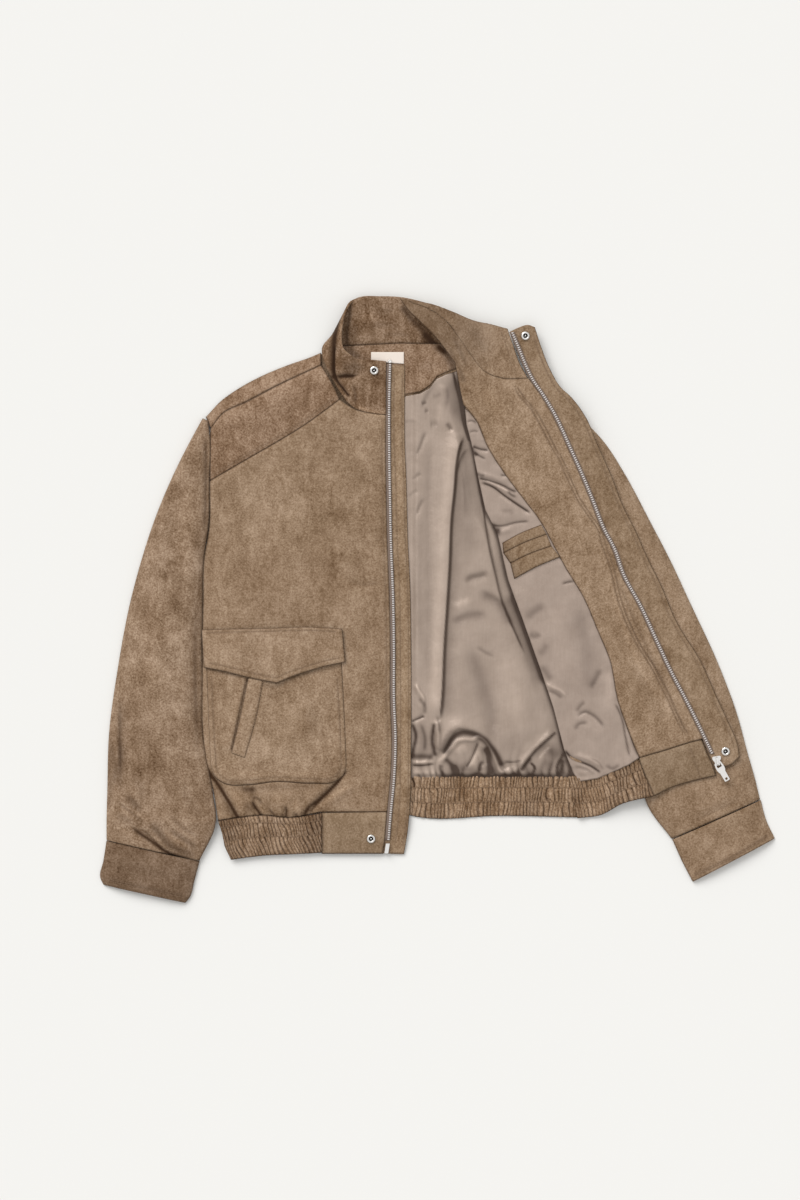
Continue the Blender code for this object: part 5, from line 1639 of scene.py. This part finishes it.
# %% Lining of the opened front
FRONT_LINING_FOLDS = fold_rows("""
    2.6 3.4 -2.6 0.12: 51 156, 67 152, 84 146, 95 140, 103 137
    3 3 1.8 0.3: 51 161, 70 157, 88 148
    2.4 3 -2.6 0.12: 54 150, 70 143, 86 132, 102 120, 120 109
    2.4 2.4 1.9 0.25: 57 154, 75 147, 93 137, 106 128
    3 3 -1.4 0.25: 67 95, 83 95, 99 99, 118 101
    5 5 1 0.3: 65 110, 83 106, 106 108
    3 3 1.6 0.3: 70 84, 84 87, 99 92
    2 2.4 -1.3 0.3: 35 241, 42 242, 47 239
    2 2.4 -1.5 0.3: 36 227, 44 229, 52 225
    2 2.4 -1.3 0.3: 39 214, 48 216, 54 214
    2.4 2.8 -2 0.2: 44 197, 54 193, 66 191
    2.2 2.4 -1.5 0.3: 45 188, 54 184, 63 179
    2.2 2.2 1.2 0.3: 54 204, 62 205, 66 204
    2 2 -1.3 0.3: 79 160, 86 159, 93 160
    2.4 2.4 -1.5 0.3: 157 20, 167 23, 176 24
    6 6 -1.8 0.3: 111 -28, 122 -17, 139 -5
    5 5 -1.8 0.3: 116 -42, 125 -47, 131 -41
    8 8 1.5 0.3: 95 13, 111 5, 121 -5
    14 14 2 0.25: 147 0, 157 -51, 164 -115
    11 11 -2 0.25: 177 -13, 189 -58, 193 -115
    2.4 2.8 2 0.2: 136 -106, 147 -111, 158 -116, 166 -124
    2.6 3.4 -1.8 0.25: 139 -115, 150 -119, 161 -127
    5 4 -1.8 0.3: 209 -86, 202 -101, 194 -115
    7 6 1.4 0.3: 216 -87, 220 -115, 221 -141
    3 3 -1.6 0.3: 176 -145, 182 -136, 189 -128
    2.2 3.4 -2.3 0.2: 177 -151, 188 -143, 198 -147, 207 -155, 214 -165
    3 3 -1.6 0.3: 175 -168, 180 -159, 193 -156
    10 10 1.8 0.3: 185 -169, 200 -166, 213 -177
    3 2.2 -2.4 0.15: 162 -192, 171 -201, 184 -207, 196 -212, 209 -221
    2.4 3.6 1.9 0.25: 173 -196, 188 -201, 202 -207, 214 -215
    5 4 2.2 0.25: 175 -219, 188 -221, 202 -224
    2.4 2.4 -1.8 0.15: 226 -131, 234 -148, 240 -177, 245 -200
    2.2 2.2 -1.2 0.2: 240 -159, 248 -179, 254 -198
    3 3 -1 0.3: 195 -15, 205 -26
    3 3 -0.9 0.3: 208 -51, 216 -64
""")
# painted shade in the lining's creases, and painted light on their ridges below zero
FRONT_LINING_TONES = fold_rows("""
    1.4 1.8 0.8 0.1: 51 156, 67 152, 84 146, 95 140, 103 137
    1.6 1.8 0.8 0.1: 54 151, 70 145, 86 133, 102 122, 120 110
    1.4 1.4 -0.25 0.25: 57 154, 75 147, 93 137
    1.6 1.6 0.55 0.3: 88 141, 95 134, 102 131
    1.6 1.6 0.6 0.12: 67 96, 83 95, 99 99, 118 101
    4.5 4.5 0.85 0.25: 66 100, 72 90, 83 87
    4 3 0.2 0.3: 80 113, 90 114, 100 111
    1.6 1.6 0.45 0.3: 35 241, 42 242, 47 239
    1.6 1.6 0.5 0.3: 36 227, 44 229, 52 225
    1.6 1.6 0.45 0.3: 39 214, 48 216, 54 214
    1.6 1.8 0.75 0.15: 44 197, 54 193, 66 191
    1.5 1.6 0.6 0.25: 45 189, 54 184, 63 179
    3 3 0.6 0.25: 42 196, 47 189, 51 182
    1.4 1.4 0.6 0.3: 79 160, 86 159, 93 160
    2.4 2.4 0.5 0.3: 49 163, 54 160, 62 159
    1.6 1.6 0.6 0.3: 157 20, 167 23, 176 24
    5 6 0.3 0.3: 111 -28, 122 -17, 139 -5
    5 5 0.34 0.3: 116 -42, 125 -47, 131 -41
    5 5 0.25 0.3: 126 -70, 135 -64, 141 -54
    4 5 0.34 0.3: 129 -82, 138 -92, 147 -105
    12 12 -0.08 0.25: 147 0, 157 -51, 164 -115
    10 10 0.18 0.2: 177 0, 189 -58, 194 -128
    1.6 1.6 -0.3 0.2: 136 -106, 147 -111, 158 -116, 166 -124
    2.2 3 0.4 0.25: 139 -115, 150 -119, 161 -127
    4 3.5 0.36 0.25: 209 -86, 202 -101, 194 -115
    6 5 -0.14 0.25: 216 -87, 220 -115, 221 -143
    2.6 2.6 0.38 0.3: 176 -145, 182 -136, 189 -128
    2 2.6 0.5 0.2: 177 -150, 188 -143, 198 -147, 207 -155, 214 -165
    3 2.6 0.42 0.25: 175 -168, 180 -159, 193 -156
    2 1.6 0.85 0.08: 162 -191, 171 -201, 184 -207, 196 -212, 209 -221
    1.4 2 -0.25 0.25: 173 -196, 188 -201, 202 -207, 214 -215
    1.2 1.2 0.35 0.3: 193 -201, 205 -207, 213 -218
    1.4 1.4 0.6 0.08: 226 -131, 234 -148, 240 -177, 245 -201
    1.3 1.3 0.45 0.12: 240 -156, 248 -179, 255 -200
    3 2 0.6 0.2: 170 -210, 172 -223, 177 -230
    3 2 0.34 0.25: 172 -212, 188 -215, 203 -223
    3 2 -0.22 0.25: 175 -227, 190 -227, 204 -224
    3 8 0.16 0.3: 131 -148, 139 -166, 147 -182
    2 3 0.4 0.25: 213 -210, 223 -215, 234 -209
""")


def front_lining_extra(x, y, runs):
    """The creases, fading towards the fold, and small puckers along the facing's seam."""
    puckers = np.sin(runs[TOP] / 3.1 + 1.7 * np.sin(runs[TOP] / 17.0))
    puckers = 0.35 * puckers * np.exp(-runs[RIGHT] / 6.0)
    gathers = np.abs(np.sin(runs[LEFT] * math.pi / 14.0)) * np.exp(-runs[BOTTOM] / 7.0)
    soft = unrest(x, y * 0.5, 9, 36.0, 0.7) * smooth(runs[RIGHT] / 12.0)
    creased = 0.55 * folds(x, y, FRONT_LINING_FOLDS) * smooth(runs[LEFT] / 3.0)
    return creased + soft + puckers + 1.6 * gathers


SATIN_FOLD = [(35, 244)] + shifted(FOLD_INSIDE[2:-1], -2.0) + shifted(FOLD_INSIDE[-1:], -1.5)
panel("lining_left", SATIN_FOLD, along([(37, 244)], FACING_EDGE[1:]), facing_satin, opened_facing,
      bottom=shifted(FOLD_INSIDE[-1:], -1.5) + [(182, -232), (204, -228), (223, -220),
                                                (244, -210), (257, -201)],
      wall=SATIN, cell=1.7, roll=(0.9, 1.0, 0.5, 0.5), dip=0.8,
      reach=2.6, extra=front_lining_extra,
      tones=stronger(FRONT_LINING_TONES, 1.3), dark=0.6)

# %% [markdown]
# ## Inner pocket
# Two jetted pockets open between three suede welts, which lie on the lining.

# %% Inner welts
# columns: name, then the upper left, upper right, lower left and lower right corners
BANDS = [("inner_welt_upper", (83, 73), (132, 96), (84, 60), (139, 84)),
         ("inner_welt_middle", (84, 60), (139, 84), (93, 47), (145, 69)),
         ("inner_welt_lower", (93, 47), (145, 69), (98, 27), (156, 55))]
WELT_ARCH = 1.8         # how far a welt's long edges bow


def arched(start, end):
    """A line that bows up a little, a bit before its middle."""
    return curve([start, tuple(mix(np.array(start), end, 0.45) + (0, WELT_ARCH)), end])


# each welt gets painted shade towards its left end, where it goes into shadow
for name, upper_left, upper_right, lower_left, lower_right in BANDS:
    panel(name, [upper_left, lower_left], [upper_right, lower_right], suede_placket,
          opened_facing, top=arched(upper_left, upper_right),
          bottom=arched(lower_left, lower_right), lift=LAYER, wall=1.2, cell=1.1,
          roll=(0.9, 0.4, 1, 1), dip=0.7, reach=1.6, dark=1.0,
          shade=lambda x, y, runs: 0.5 * np.exp(-runs[LEFT] / 6.0))

# %% [markdown]
# ## Zip edge of the opened front
# The storm placket, the zip's other half with its slider and pull tab, and two press studs.

# %% Left placket and zip
placket_outer = curve(PLACKET_LEFT_EDGE)
PLACKET_FOLDS = fold_rows("""
    5 6 0.6 0.3: 157 251, 182 205, 208 154
    5 5 -0.5 0.3: 336 -148, 351 -173, 364 -189
""")
placket_inner = along(shifted(ZIP_LEFT, -TAPE_HALF), [(354, -211)])
panel("placket_left", placket_inner, placket_outer, suede_placket, opened_shell,
      bottom=curve([(354, -211), (371, -212), (385, -201)]),
      top=curve(shifted(ZIP_LEFT[:1], -TAPE_HALF) + [(104, 348), (116, 351), (124, 348)]),
      cell=1.6, tall_cell=3.0, roll=(0, 0.9, 0, 0.8), dip=0.8,
      rows=[inset(placket_outer, -5.0, 0.01, 0.99)],
      extra=folded(PLACKET_FOLDS))
panel("zip_tape_left", curve(shifted(ZIP_LEFT, -TAPE_HALF + SEAM)),
      curve(shifted(ZIP_LEFT, TAPE_HALF - 0.6)), tape_weave, opened_facing, wall=TAPE, cell=1.2,
      tall_cell=4.0, roll=(0.3, 0.3, 0, 0), dip=0.5)
zip_teeth("zip_chain_left", ZIP_LEFT, opened_facing, -1)

# %% [markdown]
# ## Metal
# The slider, its pull tab, the stop and the insertion pin keep their own solids, which are exact
# already, and only take bright plating.  The press studs get a turned profile with rounded
# shoulders, which is a curve carried round a circle.

# %% Metal parts
for node in ("zip_slider", "zip_pull", "zip_stop_right", "zip_pin_right"):
    bpy.data.objects[node].material_slots[0].material = pull_nickel


SIDES = 40              # flat sides of a stud's circle


def turned(name, profile, centre):
    """A profile of (radius, height) carried round an upright axis, closed at both ends."""
    p = curve(profile, 5)
    p[:, 0] = np.maximum(p[:, 0], 0.0)
    angle = np.linspace(0, 2 * math.pi, SIDES, endpoint=False)
    ring = np.stack([p[1:-1, 0, None] * np.cos(angle), p[1:-1, 0, None] * np.sin(angle),
                     p[1:-1, 1, None] + 0 * angle], axis=-1)
    rings = len(ring)
    number = np.arange(rings * SIDES).reshape(rings, SIDES)
    turned_on = np.roll(number, -1, axis=1)
    quads = np.stack([number[:-1], number[1:], turned_on[1:], turned_on[:-1]],
                     axis=-1).reshape(-1, 4)
    points = ring.reshape(-1, 3) + centre
    piece = mesh_piece(name, points, quads, snap_nickel)
    around = np.hypot(*(points - centre)[:, :2].T)
    inside = (around > SOCKET[0]) & (around < SOCKET[1])
    # painted shade in the groove round the post
    paint_shade(piece, inside.astype(float))
    return piece


# columns: radius, height above the stud's foot
STUD = [(0.02, 1.15), (0.7, 1.1), (1.1, 0.7), (1.5, 0.35), (2.3, 0.4), (2.7, 1.2), (3.1, 1.75),
        (4.2, 1.8), (5.0, 1.5), (5.5, 0.8), (5.6, 0.05), (5.2, 0.0), (0.02, 0.0)]
SOCKET = (1.1, 2.9)     # the ring between the stud's post and its rim, painted dark as shade in its groove
for node in ("snap_collar_right", "snap_hem_right", "snap_placket_top", "snap_placket_bottom"):
    low, high = (np.array(corner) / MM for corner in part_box(node))
    centre = np.array([(low[0] + high[0]) / 2, (low[1] + high[1]) / 2, low[2]])
    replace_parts(turned(node + "_stud", STUD, centre), node)

# %% [markdown]
# ## Stitches
# Every panel kept its stitched rows, so the stitches are made now, in one mesh.

# %% Thread
STITCH = [(-1.25, 0.12, -0.3, 0.05), (-0.8, 0.3, -0.3, 0.32), (0.8, 0.3, -0.3, 0.32),
          (1.25, 0.12, -0.3, 0.05)]
row_of_bars("topstitching", STITCH, stitched, 3.1, thread)

# %% [markdown]
# ## Table, light and camera
# The jacket lies on a pale table under soft light: a white sky that dims towards the horizon,
# and one very large lamp beyond the collar that gives the folds their shade.  The camera looks
# straight down.

# %% Stage
floor_mesh = bpy.data.meshes.new("table")
TABLE_HALF = 4.0
TABLE_TOP = -0.0004     # just below the jacket, so the two don't flicker
corners = [(x * TABLE_HALF, y * TABLE_HALF, TABLE_TOP)
           for x, y in ((-1, -1), (1, -1), (1, 1), (-1, 1))]
floor_mesh.from_pydata(corners, [], [(0, 1, 2, 3)])
table = bpy.data.objects.new("table", floor_mesh)
bpy.context.scene.collection.objects.link(table)
table_finish = Nodes("pale_table")
floor_mesh.materials.append(table_finish.finish((0.80, 0.792, 0.766, 1.0), Roughness=0.9,
                                                Specular_IOR_Level=0.0))

sky = bpy.data.worlds.new("studio")
bpy.context.scene.world = sky
sky.use_nodes = True
SKY_STRENGTH = 0.885
backdrop = sky.node_tree.nodes["Background"]
backdrop.inputs["Strength"].default_value = SKY_STRENGTH
sky_place = sky.node_tree.nodes.new("ShaderNodeTexCoord")
sky_height = sky.node_tree.nodes.new("ShaderNodeSeparateXYZ")
sky_ramp = sky.node_tree.nodes.new("ShaderNodeValToRGB")
sky.node_tree.links.new(sky_place.outputs["Generated"], sky_height.inputs[0])
sky.node_tree.links.new(sky_height.outputs["Z"], sky_ramp.inputs["Fac"])
sky.node_tree.links.new(sky_ramp.outputs["Color"], backdrop.inputs["Color"])
for element, (at, grey) in zip(sky_ramp.color_ramp.elements, ((0.0, 0.3), (0.9, 1.0))):
    element.position = at
    element.color = (grey, grey, grey, 1.0)


def lamp(name, place, spread, power):
    """A very wide soft light from one side: a sun whose disc is spread degrees across."""
    light = bpy.data.lights.new(name, "SUN")
    light.angle = math.radians(spread)
    light.energy = power
    made = bpy.data.objects.new(name, light)
    made.location = place
    made.rotation_euler = (-Vector(place)).to_track_quat("-Z", "Y").to_euler()
    bpy.context.scene.collection.objects.link(made)


lamp("key", (-1.2, 2.0, 1.9), 40.0, 2.12)

CAMERA_HEIGHT = 4.2667
CAMERA_SIDE = -0.048
lens = bpy.data.cameras.new("camera")
lens.lens = 100.0
camera = bpy.data.objects.new("camera", lens)
camera.location = (CAMERA_SIDE, 0.0, CAMERA_HEIGHT)
bpy.context.scene.collection.objects.link(camera)
bpy.context.scene.camera = camera
bpy.context.scene.view_settings.view_transform = "Standard"
print("camera", CAMERA_HEIGHT, "m above the table")
